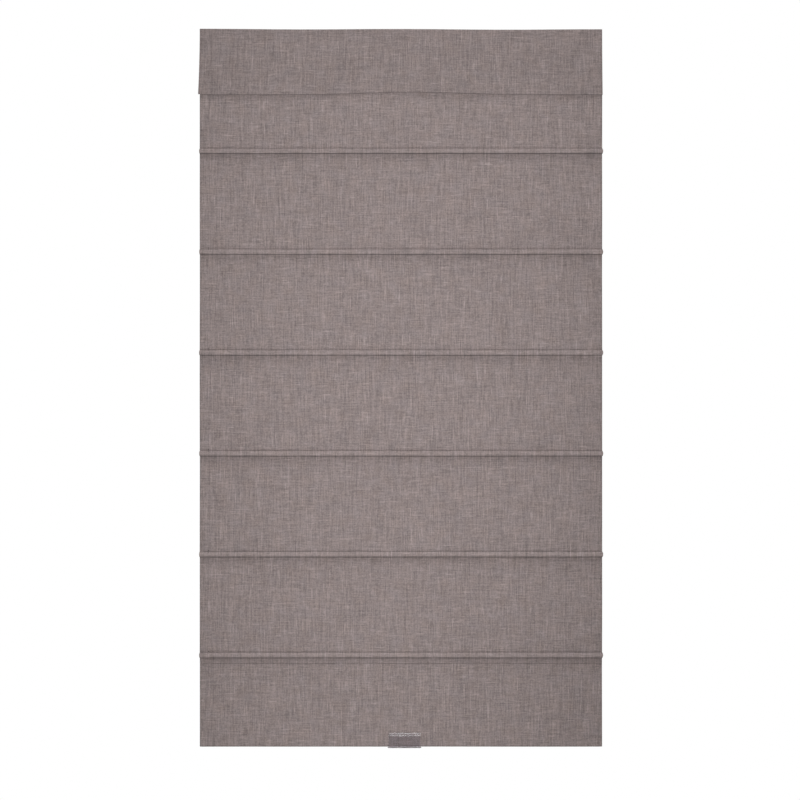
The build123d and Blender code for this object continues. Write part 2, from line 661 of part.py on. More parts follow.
pieces = {
    "headrail_channel": headrail_channel(),
    "motor_housing": journal_tray(0, motor_length, motor_journals),
    "motor_cover": journal_cover(0, motor_length, motor_journals),
    "output_drum": output_drum(),
    "storage_drum": spring_drum(STORAGE_CORE, STORAGE_JOURNAL, storage_y),
    "spring_band": spring_band(),
    "lift_shaft": lift_shaft(),
    "headrail_hook_tape": tape(rail_front_y - TAPE),
    "shade_loop_tape": tape(rail_front_y - 2 * TAPE),
    "shade_cloth": shade_cloth(),
    "valance_hook_tape": tape(valance_back_y + TAPE),
    "valance_loop_tape": tape(valance_back_y),
    "valance": valance(),
    "bottom_bar": bottom_bar(),
    "lift_handle": lift_handle(),
}
for name, side in sides.items():
    pieces[f"end_cap_{name}"] = end_cap(side)
    pieces[f"bracket_{name}"] = bracket(side)
    pieces[f"spool_cradle_{name}"] = spool_cradle(side)
    pieces[f"cradle_cover_{name}"] = journal_cover(side * cord_x, cradle_length, spool_journals)
    pieces[f"cord_spool_{name}"] = cord_spool(side)
    pieces[f"cord_anchor_{name}"] = cord_anchor(side)
    pieces[f"bottom_bar_plug_{name}"] = bottom_bar_plug(side)
for number, (stitch_z, z) in enumerate(zip(tuck_stitch_z, rod_z), 1):
    pieces[f"rod_{number}"] = rod(z)
    pieces[f"rod_plugs_{number}"] = Compound(children=[rod_plug(z, side) for side in sides.values()])
    pieces[f"cord_rings_{number}"] = Compound(children=[ring(side, stitch_z) for side in sides.values()])

os.makedirs("parts", exist_ok=True)
for name, piece in pieces.items():
    export_step(piece, f"parts/{name}.step")
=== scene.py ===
"""A cordless roman blind: woven cloth with sewn tucks, stitches and finishes, on a plain stage."""
import json
from functools import partial
from math import acos, atan2, cos, exp, hypot, pi, radians, sin

import bmesh
import bpy
from bpy.props import FloatProperty, FloatVectorProperty, PointerProperty
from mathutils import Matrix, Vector, noise


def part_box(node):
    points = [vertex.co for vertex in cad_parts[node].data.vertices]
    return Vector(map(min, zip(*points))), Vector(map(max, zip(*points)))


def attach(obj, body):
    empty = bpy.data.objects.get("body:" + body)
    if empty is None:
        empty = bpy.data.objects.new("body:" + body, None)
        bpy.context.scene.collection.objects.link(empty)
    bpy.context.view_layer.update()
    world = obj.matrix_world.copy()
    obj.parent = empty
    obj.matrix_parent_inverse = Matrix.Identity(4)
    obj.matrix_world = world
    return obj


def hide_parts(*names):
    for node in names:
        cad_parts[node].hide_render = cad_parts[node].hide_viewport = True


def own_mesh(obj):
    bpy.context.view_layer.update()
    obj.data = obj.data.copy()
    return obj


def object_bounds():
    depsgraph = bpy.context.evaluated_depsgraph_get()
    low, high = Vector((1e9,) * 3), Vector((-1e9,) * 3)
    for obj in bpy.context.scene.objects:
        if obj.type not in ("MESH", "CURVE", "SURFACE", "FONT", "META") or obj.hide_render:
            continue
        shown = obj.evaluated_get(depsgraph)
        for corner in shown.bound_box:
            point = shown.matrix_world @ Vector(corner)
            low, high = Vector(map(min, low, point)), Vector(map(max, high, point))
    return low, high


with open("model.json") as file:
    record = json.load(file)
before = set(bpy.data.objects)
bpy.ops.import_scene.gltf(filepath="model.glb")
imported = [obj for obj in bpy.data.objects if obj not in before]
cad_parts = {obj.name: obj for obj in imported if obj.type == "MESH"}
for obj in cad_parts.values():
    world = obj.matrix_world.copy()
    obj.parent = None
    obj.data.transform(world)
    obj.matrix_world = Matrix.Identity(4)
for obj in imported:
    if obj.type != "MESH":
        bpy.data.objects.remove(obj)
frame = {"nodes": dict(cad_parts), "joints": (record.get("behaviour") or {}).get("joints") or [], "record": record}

bl_info = {
    "name": "Roman blind",
    "version": (1, 0, 0),
    "blender": (4, 5, 0),
    "location": "View3D > Sidebar > Blind",
    "description": "Dresses a roman blind with woven cloth, stitches and finishes",
    "category": "Object",
}

CAD_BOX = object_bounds()

# The photograph's frame, in its own pixels
PHOTO_SIDE = 800
BLIND_LEFT_PIXEL = 199.9
BLIND_RIGHT_PIXEL = 602.05
BLIND_TOP_PIXEL = 29.4


def low(node):
    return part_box(node)[0]


def high(node):
    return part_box(node)[1]


def middle(node):
    return (low(node) + high(node)) / 2


# Places read from the frame, in metres: X along the blind, Y towards the wall, Z up
TUCK_NUMBERS = range(1, 1 + sum(name.startswith("cord_rings_") for name in frame["nodes"]))
THICKNESS = low("shade_loop_tape").y - high("valance_hook_tape").y
CLOTH_Y = high("valance_hook_tape").y + THICKNESS / 2
SKIRT_Y = CLOTH_Y + 2 * THICKNESS
HALF_WIDTH = high("valance").x
TOP_Z = high("valance").z
VALANCE_FOOT_Z = low("valance").z
HEADING_TOP_Z = high("shade_loop_tape").z
RAIL_FOOT_Z = low("headrail_channel").z
STITCH_Z = {k: middle(f"cord_rings_{k}").z for k in TUCK_NUMBERS}
ROD = {k: middle(f"rod_{k}") for k in TUCK_NUMBERS}
ROD_RADIUS = (high("rod_1").z - low("rod_1").z) / 2
BAR_LOW, BAR_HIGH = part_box("bottom_bar")
LAST_TUCK = TUCK_NUMBERS[-1]

# How far each body has risen when the blind is all the way up
LIFT = next(joint for joint in frame["joints"] if joint["name"] == "blind_lift")
FULL_LIFT = LIFT["range_m"][1]
RISE = {"headrail": 0.0, LIFT["child"]: FULL_LIFT}
for coupling in frame["record"]["behaviour"]["couplings"]:
    follower = next(joint for joint in frame["joints"] if joint["name"] == coupling["joint"])
    if follower["type"] == "slide":
        RISE[follower["child"]] = coupling["ratio"] * FULL_LIFT

# Sewing allowances
FIT = 0.00022  # between the cloth and the rod or bar that it wraps
FOLD_RADIUS = 0.00045
SIDE_HEM = 0.025
SEAM_DROP = 0.0128  # from the lowest tuck's edge to the stitches of the deep bottom hem
SEAM_TURNING = 0.006
SEAM_Z = ROD[LAST_TUCK].z - ROD_RADIUS - FIT - THICKNESS - SEAM_DROP
POCKET_ROOM = 0.004  # cloth above the bottom bar that moves with it
VALANCE_TOP_HEM = 0.030
VALANCE_FOOT_HEM = 0.025
WEAVE_MAP = "weave"
PAINTED_SHADE_MAP = "crease"

# Steps between the points of a sheet, and how many steps its folds have
FINE_STEP = 0.0005
ROW_STEP = 0.0075
COLUMN_STEP = 0.0055
STEP_GROWTH = 1.5
TUCK_BACK_STEP = 0.002
TUCK_FRONT_STEPS = 14
TUCK_LOOP_STEPS = 18
SIDE_FOLD_STEPS = 6
BAR_LOOP_STEPS = 14
VALANCE_FOLD_STEPS = 8


# Settings


class ClothSettings(bpy.types.PropertyGroup):
    """The cloth's colours, its weave and the way it hangs."""

    colour: FloatVectorProperty(
        name="Colour",
        description="Middle colour of the yarn",
        subtype="COLOR",
        default=(0.27, 0.2225, 0.216),
    )
    contrast: FloatProperty(
        name="Slub contrast",
        description="How far yarns differ in shade",
        subtype="FACTOR",
        default=0.95,
    )
    # painted shade: the valance gets a darker copy of the same linen, standing in for shade
    painted_valance_shade: FloatProperty(
        name="Lined shade",
        description="Shade of the lined valance beside the cloth",
        subtype="FACTOR",
        default=0.93,
    )
    yarn: FloatProperty(
        name="Yarn",
        description="Distance between neighbouring yarns",
        unit="LENGTH",
        default=0.0009,
    )
    slub: FloatProperty(
        name="Slub length",
        description="Length of a thick stretch of yarn",
        unit="LENGTH",
        default=0.044,
    )
    belly: FloatProperty(
        name="Belly",
        description="How far the middle of a panel stands out",
        unit="LENGTH",
        default=0.001,
    )
    pillow: FloatProperty(
        name="Pillow",
        description="How far the cloth swells above stitches",
        unit="LENGTH",
        default=0.0022,
    )
    curl: FloatProperty(
        name="Edge curl",
        description="How far the side hems roll back",
        unit="LENGTH",
        default=0.003,
    )
    wave: FloatProperty(
        name="Valance wave",
        description="How far the middle of the valance's foot rises",
        unit="LENGTH",
        default=0.0057,
    )
    # painted shade: how far the cloth darkens towards black at the edges of its folds, standing in for their
    # shadow
    crease: FloatProperty(
        name="Crease",
        description="How far the cloth darkens in its folds",
        subtype="FACTOR",
        default=0.75,
    )
    flare: FloatProperty(
        name="Valance flare",
        description="How far the valance's left corner spreads",
        unit="LENGTH",
        default=0.0038,
    )


class StitchSettings(bpy.types.PropertyGroup):
    """The sewing thread and its stitches."""

    # thread darker than the cloth: partly its own colour, partly painted shade along the stitch lines
    colour: FloatVectorProperty(
        name="Thread colour",
        description="Colour of the thread",
        subtype="COLOR",
        default=(0.11, 0.089, 0.086),
    )
    pitch: FloatProperty(
        name="Pitch",
        description="From one stitch to the next",
        unit="LENGTH",
        default=0.0034,
    )
    length: FloatProperty(
        name="Length",
        description="Length of one stitch",
        unit="LENGTH",
        default=0.0028,
    )
    thread: FloatProperty(
        name="Thread",
        description="Thickness of the thread",
        unit="LENGTH",
        default=0.00085,
    )


class HardwareSettings(bpy.types.PropertyGroup):
    """Colours of the rail, the lift and the handle."""

    paint: FloatVectorProperty(
        name="Rail paint",
        description="Powder coat of the headrail",
        subtype="COLOR",
        default=(0.75, 0.75, 0.72),
    )
    grey: FloatVectorProperty(
        name="Grey plastic",
        description="Housings in the rail",
        subtype="COLOR",
        default=(0.26, 0.27, 0.28),
    )
    white: FloatVectorProperty(
        name="White plastic",
        description="Caps, plugs and spools",
        subtype="COLOR",
        default=(0.76, 0.76, 0.73),
    )
    clear: FloatVectorProperty(
        name="Clear plastic",
        description="Tint of the handle",
        subtype="COLOR",
        default=(0.93, 0.89, 0.92),
    )


class StageSettings(bpy.types.PropertyGroup):
    """Camera, floor and light."""

    distance: FloatProperty(
        name="Camera distance",
        description="From the cloth to the camera",
        unit="LENGTH",
        default=10.0,
    )
    floor_drop: FloatProperty(
        name="Floor drop",
        description="From the blind's foot to the floor",
        unit="LENGTH",
        default=0.7,
    )
    floor_radius: FloatProperty(
        name="Floor radius",
        description="Size of the round floor",
        unit="LENGTH",
        default=2.4,
    )
    sky: FloatProperty(
        name="Sky",
        description="Strength of the light from all round",
        default=0.2,
    )
    key: FloatProperty(
        name="Key light",
        description="Power of the far light in front",
        unit="POWER",
        default=375.0,
    )
    softbox: FloatProperty(
        name="Softbox",
        description="Power of the small light that glints on the handle",
        unit="POWER",
        default=0.6,
    )
    overhead: FloatProperty(
        name="Overhead light",
        description="Strength of the light from above",
        default=1.3,
    )
    rear: FloatProperty(
        name="Rear light",
        description="Strength of the light from behind",
        default=1.5,
    )


# Node trees


class Wire:
    """A socket of a node tree; sums on it add Math nodes."""

    def __init__(self, board, socket):
        self.board = board
        self.socket = socket

    def math(self, operation, *values):
        return self.board.node("ShaderNodeMath", {"operation": operation}, dict(enumerate(values)))

    def __add__(self, other):
        return self.math("ADD", self, other)

    def __sub__(self, other):
        return self.math("SUBTRACT", self, other)

    def __rsub__(self, other):
        return self.math("SUBTRACT", other, self)

    def __mul__(self, other):
        return self.math("MULTIPLY", self, other)

    def sine(self):
        return self.math("SINE", self)

    def floor(self):
        return self.math("FLOOR", self)

    def larger(self, other):
        return self.math("MAXIMUM", self, other)

    __radd__ = __add__
    __rmul__ = __mul__


class Board:
    """A node tree in the making."""

    def __init__(self, tree):
        self.tree = tree

    def join(self, socket, value):
        if isinstance(value, Wire):
            self.tree.links.new(value.socket, socket)
        else:
            socket.default_value = value

    def node(self, kind, settings=None, sockets=None, output=0):
        """A node: settings first, then its sockets' values or links; gives one of its outputs."""
        node = self.tree.nodes.new(kind)
        for name, value in (settings or {}).items():
            setattr(node, name, value)
        for key, value in (sockets or {}).items():
            self.join(node.inputs[key], value)
        return Wire(self, node.outputs[output]) if node.outputs else node

    def stretched(self, vector, scale, shift=(0, 0, 0)):
        """A vector times a scale, and then shifted."""
        settings = {"operation": "MULTIPLY_ADD"}
        return self.node("ShaderNodeVectorMath", settings, {0: vector, 1: scale, 2: shift})

    def noise(self, vector, detail):
        sockets = {"Vector": vector, "Scale": 1.0, "Detail": detail}
        return self.node("ShaderNodeTexNoise", {}, sockets)

    def mix(self, factor, first, second, blend="MIX"):
        """A colour between two others, or one blended with another."""
        # By number, because the sockets for numbers and for colours share their names
        settings = {"data_type": "RGBA", "blend_type": blend}
        return self.node("ShaderNodeMix", settings, {0: factor, 6: first, 7: second}, output=2)

    def bump(self, height, distance, strength):
        sockets = {"Height": height, "Distance": distance, "Strength": strength}
        return self.node("ShaderNodeBump", {}, sockets)


class Finish(Board):
    """A material whose look comes from its nodes."""

    def __init__(self, name):
        self.material = bpy.data.materials.new(name)
        self.material.use_nodes = True
        super().__init__(self.material.node_tree)
        self.shader = self.tree.nodes["Principled BSDF"]

    def surface(self, sockets):
        for name, value in sockets.items():
            self.join(self.shader.inputs[name], value)
        return self.material

    def place(self):
        """Coordinates of the piece, in metres."""
        return self.node("ShaderNodeTexCoord", output="Object")

    def mottled(self, scale, detail):
        """Noise over the piece, at a scale in cells to the metre."""
        return self.noise(self.stretched(self.place(), scale), detail)

    def speckled(self, scale):
        """Distance from the middle of the nearest cell, at a scale in cells to the metre."""
        sockets = {"Vector": self.stretched(self.place(), scale), "Scale": 1.0}
        return self.node("ShaderNodeTexVoronoi", {}, sockets)

    def toned(self, factor, colour, first, last):
        """A colour that runs from one shade of itself to another."""
        return self.mix(factor, shade(colour, first), shade(colour, last))


def shade(colour, amount):
    """A colour made lighter or darker, with its alpha."""
    return tuple(min(1.0, value * amount) for value in colour) + (1.0,)


# Finishes


WHITE = (1.0, 1.0, 1.0, 1.0)
BLACK = (0.0, 0.0, 0.0, 1.0)
NOISE_MIDDLE = 0.5

# What the weave's shade is made of: its weight, and its layer of the noise
WARP_WEIGHT, WARP_LAYER = 1.1, 1.3
WEFT_WEIGHT, WEFT_LAYER = 0.8, 2.6
WARP_SLUB_WEIGHT, WARP_SLUB_LAYER = 2.5, 3.9
WEFT_SLUB_WEIGHT, WEFT_SLUB_LAYER = 2.0, 5.2
GRAIN_WEIGHT, GRAIN_LAYER = 0.5, 6.5
CLOUD_WEIGHT, CLOUD_LAYER = 0.12, 7.8
BAND_WEIGHT, BAND_LAYER = 0.1, 10.4
HUE_LAYER = 9.1

# Its cells, in metres across and along the cloth
GRAIN_CELL = (0.0029, 0.0029)
CLOUD_CELL = (0.036, 0.036)
BAND_CELL = (0.008, 0.15)
HUE_CELL = (0.03, 0.03)

WEFT_SHARE = 0.7  # a weft slub's length beside a warp slub's
SLUB_WIDTH = 2.3  # in yarns
SLUB_RARITY = 0.12
YARN_SPREAD = 7.31  # keeps the shades of neighbouring yarns apart
DARK_YARN, PALE_YARN = 0.5, 1.5
COOL_TINT = (0.965, 1.0, 1.04, 1.0)
WARM_TINT = (1.035, 1.0, 0.96, 1.0)
CROSSING_HEIGHT = 0.5
SLUB_HEIGHT = 2.0
YARN_RELIEF = 0.25  # of the distance between yarns

# Scales of the other patterns, in cells to the metre along X, Y and Z
THREAD_TWIST = (900, 2600, 2600)
HOOK_PILE = (1300, 1300, 1300)
LOOP_PILE = (700, 700, 700)
TAPE_FUZZ = (4000, 4000, 4000)
PAINT_PEEL = (1100, 1100, 1100)
PAINT_HANDLING = (14, 60, 60)
MOULD_GRAIN = (2600, 2600, 2600)
MOULD_FLOW = (70, 180, 180)
DIE_LINES = (8, 3200, 3200)
METAL_STAIN = (30, 90, 90)
ZINC_SPANGLE = (300, 300, 300)
ZINC_BLOOM = (60, 60, 60)
ROD_FIBRES = (40, 5200, 5200)
CLEAR_CLOUD = (90, 180, 180)
FLOOR_MOTTLE = (3, 3, 3)

# Colours of the tapes, the metals and the small mouldings
HOOK_TAPE = (0.7, 0.7, 0.68)
LOOP_TAPE = (0.74, 0.74, 0.72)
ZINC = (0.62, 0.63, 0.64)
SPRING_STEEL = (0.3, 0.33, 0.38)
BAR_STEEL = (0.5, 0.51, 0.53)
ALUMINIUM = (0.62, 0.63, 0.64)
GLASS_FIBRE = (0.68, 0.7, 0.6)
RING_PLASTIC = (0.72, 0.73, 0.73)
FLOOR_DARK = (0.78, 0.78, 0.77, 1.0)
FLOOR_PALE = (0.82, 0.82, 0.81, 1.0)


def linen_finish(name, cloth, depth=1.0):
    """Slubbed plain weave: yarns of many shades, thick pale stretches and raised crossings."""
    finish = Finish(name)
    weave = finish.node("ShaderNodeUVMap", {"uv_map": WEAVE_MAP})
    across = finish.node("ShaderNodeSeparateXYZ", {}, {0: weave})
    along = Wire(finish, across.socket.node.outputs["Y"])

    def yarns(over, lengthwise, width, length, layer):
        """Shade that jumps from yarn to yarn, and changes slowly along each."""
        number = (over * (1 / width)).floor()
        place = {"X": number * YARN_SPREAD, "Y": lengthwise * (1 / length), "Z": layer}
        vector = finish.node("ShaderNodeCombineXYZ", {}, place)
        return finish.noise(vector, detail=1.0) - NOISE_MIDDLE

    def clouds(size, layer, detail):
        """Shade in clouds of a size."""
        vector = finish.stretched(weave, (1 / size[0], 1 / size[1], 0), (0, 0, layer))
        return finish.noise(vector, detail) - NOISE_MIDDLE

    thick = cloth.yarn * SLUB_WIDTH
    weft_slub_length = cloth.slub * WEFT_SHARE
    warp = yarns(across, along, cloth.yarn, cloth.slub, WARP_LAYER)
    weft = yarns(along, across, cloth.yarn, weft_slub_length, WEFT_LAYER)
    warp_slub = yarns(across, along, thick, cloth.slub, WARP_SLUB_LAYER)
    warp_slub = (warp_slub - SLUB_RARITY).larger(0.0)
    weft_slub = yarns(along, across, thick, weft_slub_length, WEFT_SLUB_LAYER)
    weft_slub = (weft_slub - SLUB_RARITY).larger(0.0)
    turn = pi / cloth.yarn
    crossing = (across * turn).sine() * (along * turn).sine()
    tone = warp * (1 + crossing) * WARP_WEIGHT + weft * (1 - crossing) * WEFT_WEIGHT
    tone = tone + warp_slub * WARP_SLUB_WEIGHT + weft_slub * WEFT_SLUB_WEIGHT
    tone = tone + clouds(GRAIN_CELL, GRAIN_LAYER, detail=0.0) * GRAIN_WEIGHT
    tone = tone + clouds(CLOUD_CELL, CLOUD_LAYER, detail=1.0) * CLOUD_WEIGHT
    tone = tone + clouds(BAND_CELL, BAND_LAYER, detail=1.0) * BAND_WEIGHT
    factor = tone * cloth.contrast + NOISE_MIDDLE
    # a depth below one makes a darker copy of the linen: painted shade
    yarn_colour = finish.toned(factor, cloth.colour, DARK_YARN * depth, PALE_YARN * depth)
    hue = clouds(HUE_CELL, HUE_LAYER, detail=2.0) + NOISE_MIDDLE
    colour = finish.mix(1.0, yarn_colour, finish.mix(hue, COOL_TINT, WARM_TINT), "MULTIPLY")
    # painted shade: the fold map mixes the colour towards black at the folds' edges, standing in for their shadow
    crease = finish.node("ShaderNodeUVMap", {"uv_map": PAINTED_SHADE_MAP})
    fold_shade_mask = finish.node("ShaderNodeSeparateXYZ", {}, {0: crease})
    height = crossing * CROSSING_HEIGHT + warp + weft + (warp_slub + weft_slub) * SLUB_HEIGHT
    return finish.surface(
        {
            "Base Color": finish.mix(fold_shade_mask * cloth.crease, colour, BLACK),
            "Roughness": 0.88 + 0.12 * warp,
            "Normal": finish.bump(height, distance=cloth.yarn * YARN_RELIEF, strength=0.35),
            "Specular IOR Level": 0.2,
            "Sheen Weight": 0.12,
            "Sheen Roughness": 0.6,
        }
    )


def thread_finish(stitch):
    """Twisted thread."""
    finish = Finish("sewing_thread")
    twist = finish.mottled(THREAD_TWIST, detail=1.0)
    return finish.surface(
        {
            "Base Color": finish.toned(twist, stitch.colour, first=0.7, last=1.3),
            "Roughness": 0.75 + 0.15 * twist,
            "Normal": finish.bump(twist, distance=0.0001, strength=0.5),
        }
    )


def tape_finish(name, colour, pile):
    """Hook or loop tape: a woven ground with a dense pile of hooks or loops."""
    finish = Finish(name)
    hooks = finish.speckled(pile)
    fuzz = finish.mottled(TAPE_FUZZ, detail=2.0)
    return finish.surface(
        {
            "Base Color": finish.toned(hooks, colour, first=1.05, last=0.75),
            "Roughness": 0.7 + 0.25 * fuzz,
            "Normal": finish.bump(fuzz - hooks, distance=0.0004, strength=0.8),
            "Sheen Weight": 0.2,
        }
    )


def paint_finish(colour):
    """Powder coat with its fine orange peel."""
    finish = Finish("powder_coat")
    peel = finish.mottled(PAINT_PEEL, detail=2.0)
    handling = finish.mottled(PAINT_HANDLING, detail=3.0)
    return finish.surface(
        {
            "Base Color": finish.toned(handling, colour, first=0.94, last=1.03),
            "Roughness": 0.34 + 0.14 * handling,
            "Normal": finish.bump(peel, distance=0.00008, strength=0.5),
        }
    )


def moulded_finish(name, colour, roughness, translucent=0.0):
    """Moulded plastic with the mould's fine texture and faint flow marks."""
    finish = Finish(name)
    grain = finish.mottled(MOULD_GRAIN, detail=2.0)
    flow = finish.mottled(MOULD_FLOW, detail=3.0)
    return finish.surface(
        {
            "Base Color": finish.toned(flow, colour, first=0.93, last=1.04),
            "Roughness": roughness + 0.12 * grain,
            "Normal": finish.bump(grain, distance=0.00006, strength=0.45),
            "Transmission Weight": translucent,
        }
    )


def drawn_metal_finish(name, colour, roughness):
    """Metal drawn or rolled lengthwise, with fine die lines along X."""
    finish = Finish(name)
    lines = finish.mottled(DIE_LINES, detail=2.0)
    stain = finish.mottled(METAL_STAIN, detail=3.0)
    return finish.surface(
        {
            "Base Color": finish.toned(lines, colour, first=0.88, last=1.06),
            "Roughness": roughness + 0.16 * stain,
            "Metallic": 1.0,
            "Normal": finish.bump(lines, distance=0.00004, strength=0.4),
        }
    )


def zinc_finish(colour):
    """Zinc plate: pale spangles with a dull bloom."""
    finish = Finish("zinc_plate")
    spangle = finish.speckled(ZINC_SPANGLE)
    bloom = finish.mottled(ZINC_BLOOM, detail=3.0)
    return finish.surface(
        {
            "Base Color": finish.toned(spangle, colour, first=1.08, last=0.82),
            "Roughness": 0.3 + 0.2 * bloom,
            "Metallic": 1.0,
            "Normal": finish.bump(bloom, distance=0.00008, strength=0.3),
        }
    )


def glass_fibre_finish(colour):
    """Pulled glass fibre: pale resin with fibres along the rod."""
    finish = Finish("pulled_glass_fibre")
    fibres = finish.mottled(ROD_FIBRES, detail=3.0)
    return finish.surface(
        {
            "Base Color": finish.toned(fibres, colour, first=0.82, last=1.08),
            "Roughness": 0.38 + 0.15 * fibres,
            "Normal": finish.bump(fibres, distance=0.00005, strength=0.4),
        }
    )


def clear_finish(colour):
    """Clear moulding with a faint smoky tint and a polished face."""
    finish = Finish("clear_moulding")
    cloud = finish.mottled(CLEAR_CLOUD, detail=3.0)
    return finish.surface(
        {
            "Base Color": finish.toned(cloud, colour, first=0.97, last=1.03),
            "Roughness": 0.13 + 0.02 * cloud,
            "Transmission Weight": 1.0,
            "IOR": 1.49,
        }
    )


# Cloth in the making


def spaced(length, coarse):
    """Distances along a length, close together near both ends."""
    near = []
    at, step = 0.0, FINE_STEP
    while at < length / 2:
        near.append(at)
        at += step
        step = min(step * STEP_GROWTH, coarse)
    return near + [length - at for at in reversed(near)]


def line(start, end, coarse):
    """Points of a straight run in Y and Z."""
    length = hypot(end[0] - start[0], end[1] - start[1])
    return [
        tuple(a + (b - a) * at / length for a, b in zip(start, end))
        for at in spaced(length, coarse)
    ]


def arc(centre, radius, start, end, count):
    """Points of an arc in Y and Z, between two angles."""
    angles = [start + (end - start) * i / count for i in range(count + 1)]
    return [(centre[0] + radius * cos(a), centre[1] + radius * sin(a)) for a in angles]


def bend(start, pull, end, count):
    """Points of a curve in Y and Z from one point to another, pulled towards a third."""
    points = []
    for i in range(count + 1):
        t = i / count
        first, pulled, last = (1 - t) ** 2, 2 * t * (1 - t), t**2
        trios = zip(start, pull, end)
        points.append(tuple(first * a + pulled * b + last * c for a, b, c in trios))
    return points


def tangent_angle(point, centre, radius, turn):
    """The angle at which a line from a point touches a circle."""
    across, up = point[0] - centre[0], point[1] - centre[1]
    return atan2(up, across) + turn * acos(radius / hypot(across, up))


def plain_columns():
    """Places across a sheet from side to side, as (x, distance behind the sheet's face)."""
    return [(at - HALF_WIDTH, 0.0) for at in spaced(2 * HALF_WIDTH, COLUMN_STEP)]


def hemmed_columns():
    """Places across a sheet whose sides are turned to the back and hemmed."""
    fold_x = HALF_WIDTH - FOLD_RADIUS
    angles = [pi / 2 * (1 - 2 * i / SIDE_FOLD_STEPS) for i in range(1, SIDE_FOLD_STEPS)]
    fold = [(fold_x + FOLD_RADIUS * cos(a), FOLD_RADIUS * (1 - sin(a))) for a in angles]
    hem = [(fold_x - at, 2 * FOLD_RADIUS) for at in spaced(SIDE_HEM - FOLD_RADIUS, COLUMN_STEP)]
    right = fold + hem
    face = [(at - fold_x, 0.0) for at in spaced(2 * fold_x, COLUMN_STEP)]
    return [(-x, behind) for x, behind in reversed(right)] + face + right


def nearness(z, reach):
    """One at a stitch line, falling away with the distance from it."""
    return max(exp(-abs(z - stitch) / reach) for stitch in STITCH_Z.values())


SWAY = 0.0004
SWAY_HEIGHT = 0.22
PUCKER = 0.00022
PUCKER_WIDTH = 0.017
PUCKER_REACH = 0.006
PUCKER_LAYER = 7.0  # of the noise, as the other layers are
DROOP = 0.0004
DROOP_WIDTH = 0.2
DROOP_LAYER = 3.0
CURL_REACH = 0.007
RIPPLE = 0.0005
RIPPLE_SIZE = (0.16, 0.11)


def hung(x, y, z, curl):
    """A point of the hanging cloth, with the small wanderings of a sewn sheet."""
    side = x / HALF_WIDTH
    sway = SWAY * side * noise.noise(Vector((side, 0.0, z / SWAY_HEIGHT)))
    pucker = PUCKER * noise.noise(Vector((x / PUCKER_WIDTH, PUCKER_LAYER, z)))
    pucker *= nearness(z, PUCKER_REACH)
    droop = DROOP * noise.noise(Vector((x / DROOP_WIDTH, DROOP_LAYER, z / DROOP_WIDTH)))
    past = max(0.0, abs(x) - HALF_WIDTH + CURL_REACH) / CURL_REACH
    roll = curl * past**2 * (1 - nearness(z, CURL_REACH))
    return x + sway, y + pucker + roll, z + droop


def rippled(x, y, z, top_z, height, layer, curl):
    """A point of hanging cloth that ripples a little between its upper and lower edges."""
    share = (top_z - z) / height
    cell = Vector((x / RIPPLE_SIZE[0], layer, z / RIPPLE_SIZE[1]))
    return hung(x, y + RIPPLE * noise.noise(cell) * sin(pi * share), z, curl)


FOLD_SHADE_TOP, FOLD_SHADE_FULL = 0.0017, 0.0006  # above a fold's edge: where its painted shade starts, and where it is full


def fold_shade_share(z, edge_z):
    """How much painted shade a place gets at a fold: one at its edge, nought above it."""
    share = min(1.0, max(0.0, (FOLD_SHADE_TOP - z + edge_z) / (FOLD_SHADE_TOP - FOLD_SHADE_FULL)))
    return share * share * (3 - 2 * share)


def woven(profile, columns, start, place, crease=None):
    """A sheet as rows of (place, weave, painted fold shade); start is the cloth's length above the first."""
    across = [0.0]
    for (x, behind), (next_x, next_behind) in zip(columns, columns[1:]):
        across.append(across[-1] + hypot(next_x - x, next_behind - behind))
    offset = across[-1] / 2
    rows = []
    along = start
    for i, (y, z) in enumerate(profile):
        if i:
            along += hypot(y - profile[i - 1][0], z - profile[i - 1][1])
        # painted shade in the folds, kept in a map of its own
        depth = crease(z) if crease else 0.0
        rows.append(
            [
                (place(x, y + behind, z), (u - offset, -along), (depth, 0))
                for (x, behind), u in zip(columns, across)
            ]
        )
    return rows


def cloth_piece(name, sheets, finish):
    """One mesh of woven sheets, with the cloth's thickness."""
    points, faces = [], []
    for rows in sheets:
        first, wide = len(points), len(rows[0])
        for row in rows:
            points += row
        for i in range(len(rows) - 1):
            corners = range(first + i * wide, first + (i + 1) * wide - 1)
            faces += [(a, a + wide, a + wide + 1, a + 1) for a in corners]
    mesh = bpy.data.meshes.new(name)
    mesh.from_pydata([point[0] for point in points], [], faces)
    for part, map_name in ((1, WEAVE_MAP), (2, PAINTED_SHADE_MAP)):
        layer = mesh.uv_layers.new(name=map_name)
        for loop in mesh.loops:
            layer.data[loop.index].uv = points[loop.vertex_index][part]
    mesh.shade_smooth()
    piece = added(name, mesh, finish)
    wall = piece.modifiers.new("Cloth", "SOLIDIFY")
    wall.thickness = THICKNESS
    wall.offset = 0.0
    return piece


def added(name, mesh, finish):
    """A new piece in the scene, with one finish."""
    piece = bpy.data.objects.new(name, mesh)
    bpy.context.scene.collection.objects.link(piece)
    mesh.materials.clear()
    mesh.materials.append(finish)
    return piece


def length_of(profile):
    return sum(hypot(b[0] - a[0], b[1] - a[1]) for a, b in zip(profile, profile[1:]))


def gathers(piece, upper, lower, top_z, height):
    """The piece hangs from one body, on a mesh of its own."""
    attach(piece, upper)
    keep = (height - (RISE[lower] - RISE[upper])) / height
    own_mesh(piece)


SWELL_REACH = 0.12
HEAD_SWELL_REACH = 0.015
PILLOW_REACH = 0.0014


def panel_profile(top, foot, cloth, belly, reach):
    """A panel from the side: it bellies out a little and swells above its lower stitches."""
    height = top[1] - foot[1]
    profile = []
    for drop in spaced(height, ROW_STEP):
        share = drop / height
        swell = cloth.pillow * (1 - exp((drop - height) / PILLOW_REACH))
        swell *= 1 - exp(-((drop / reach) ** 2))
        y = top[0] + (foot[0] - top[0]) * share - 4 * belly * share * (1 - share) - swell
        profile.append((y, top[1] - drop))
    return profile


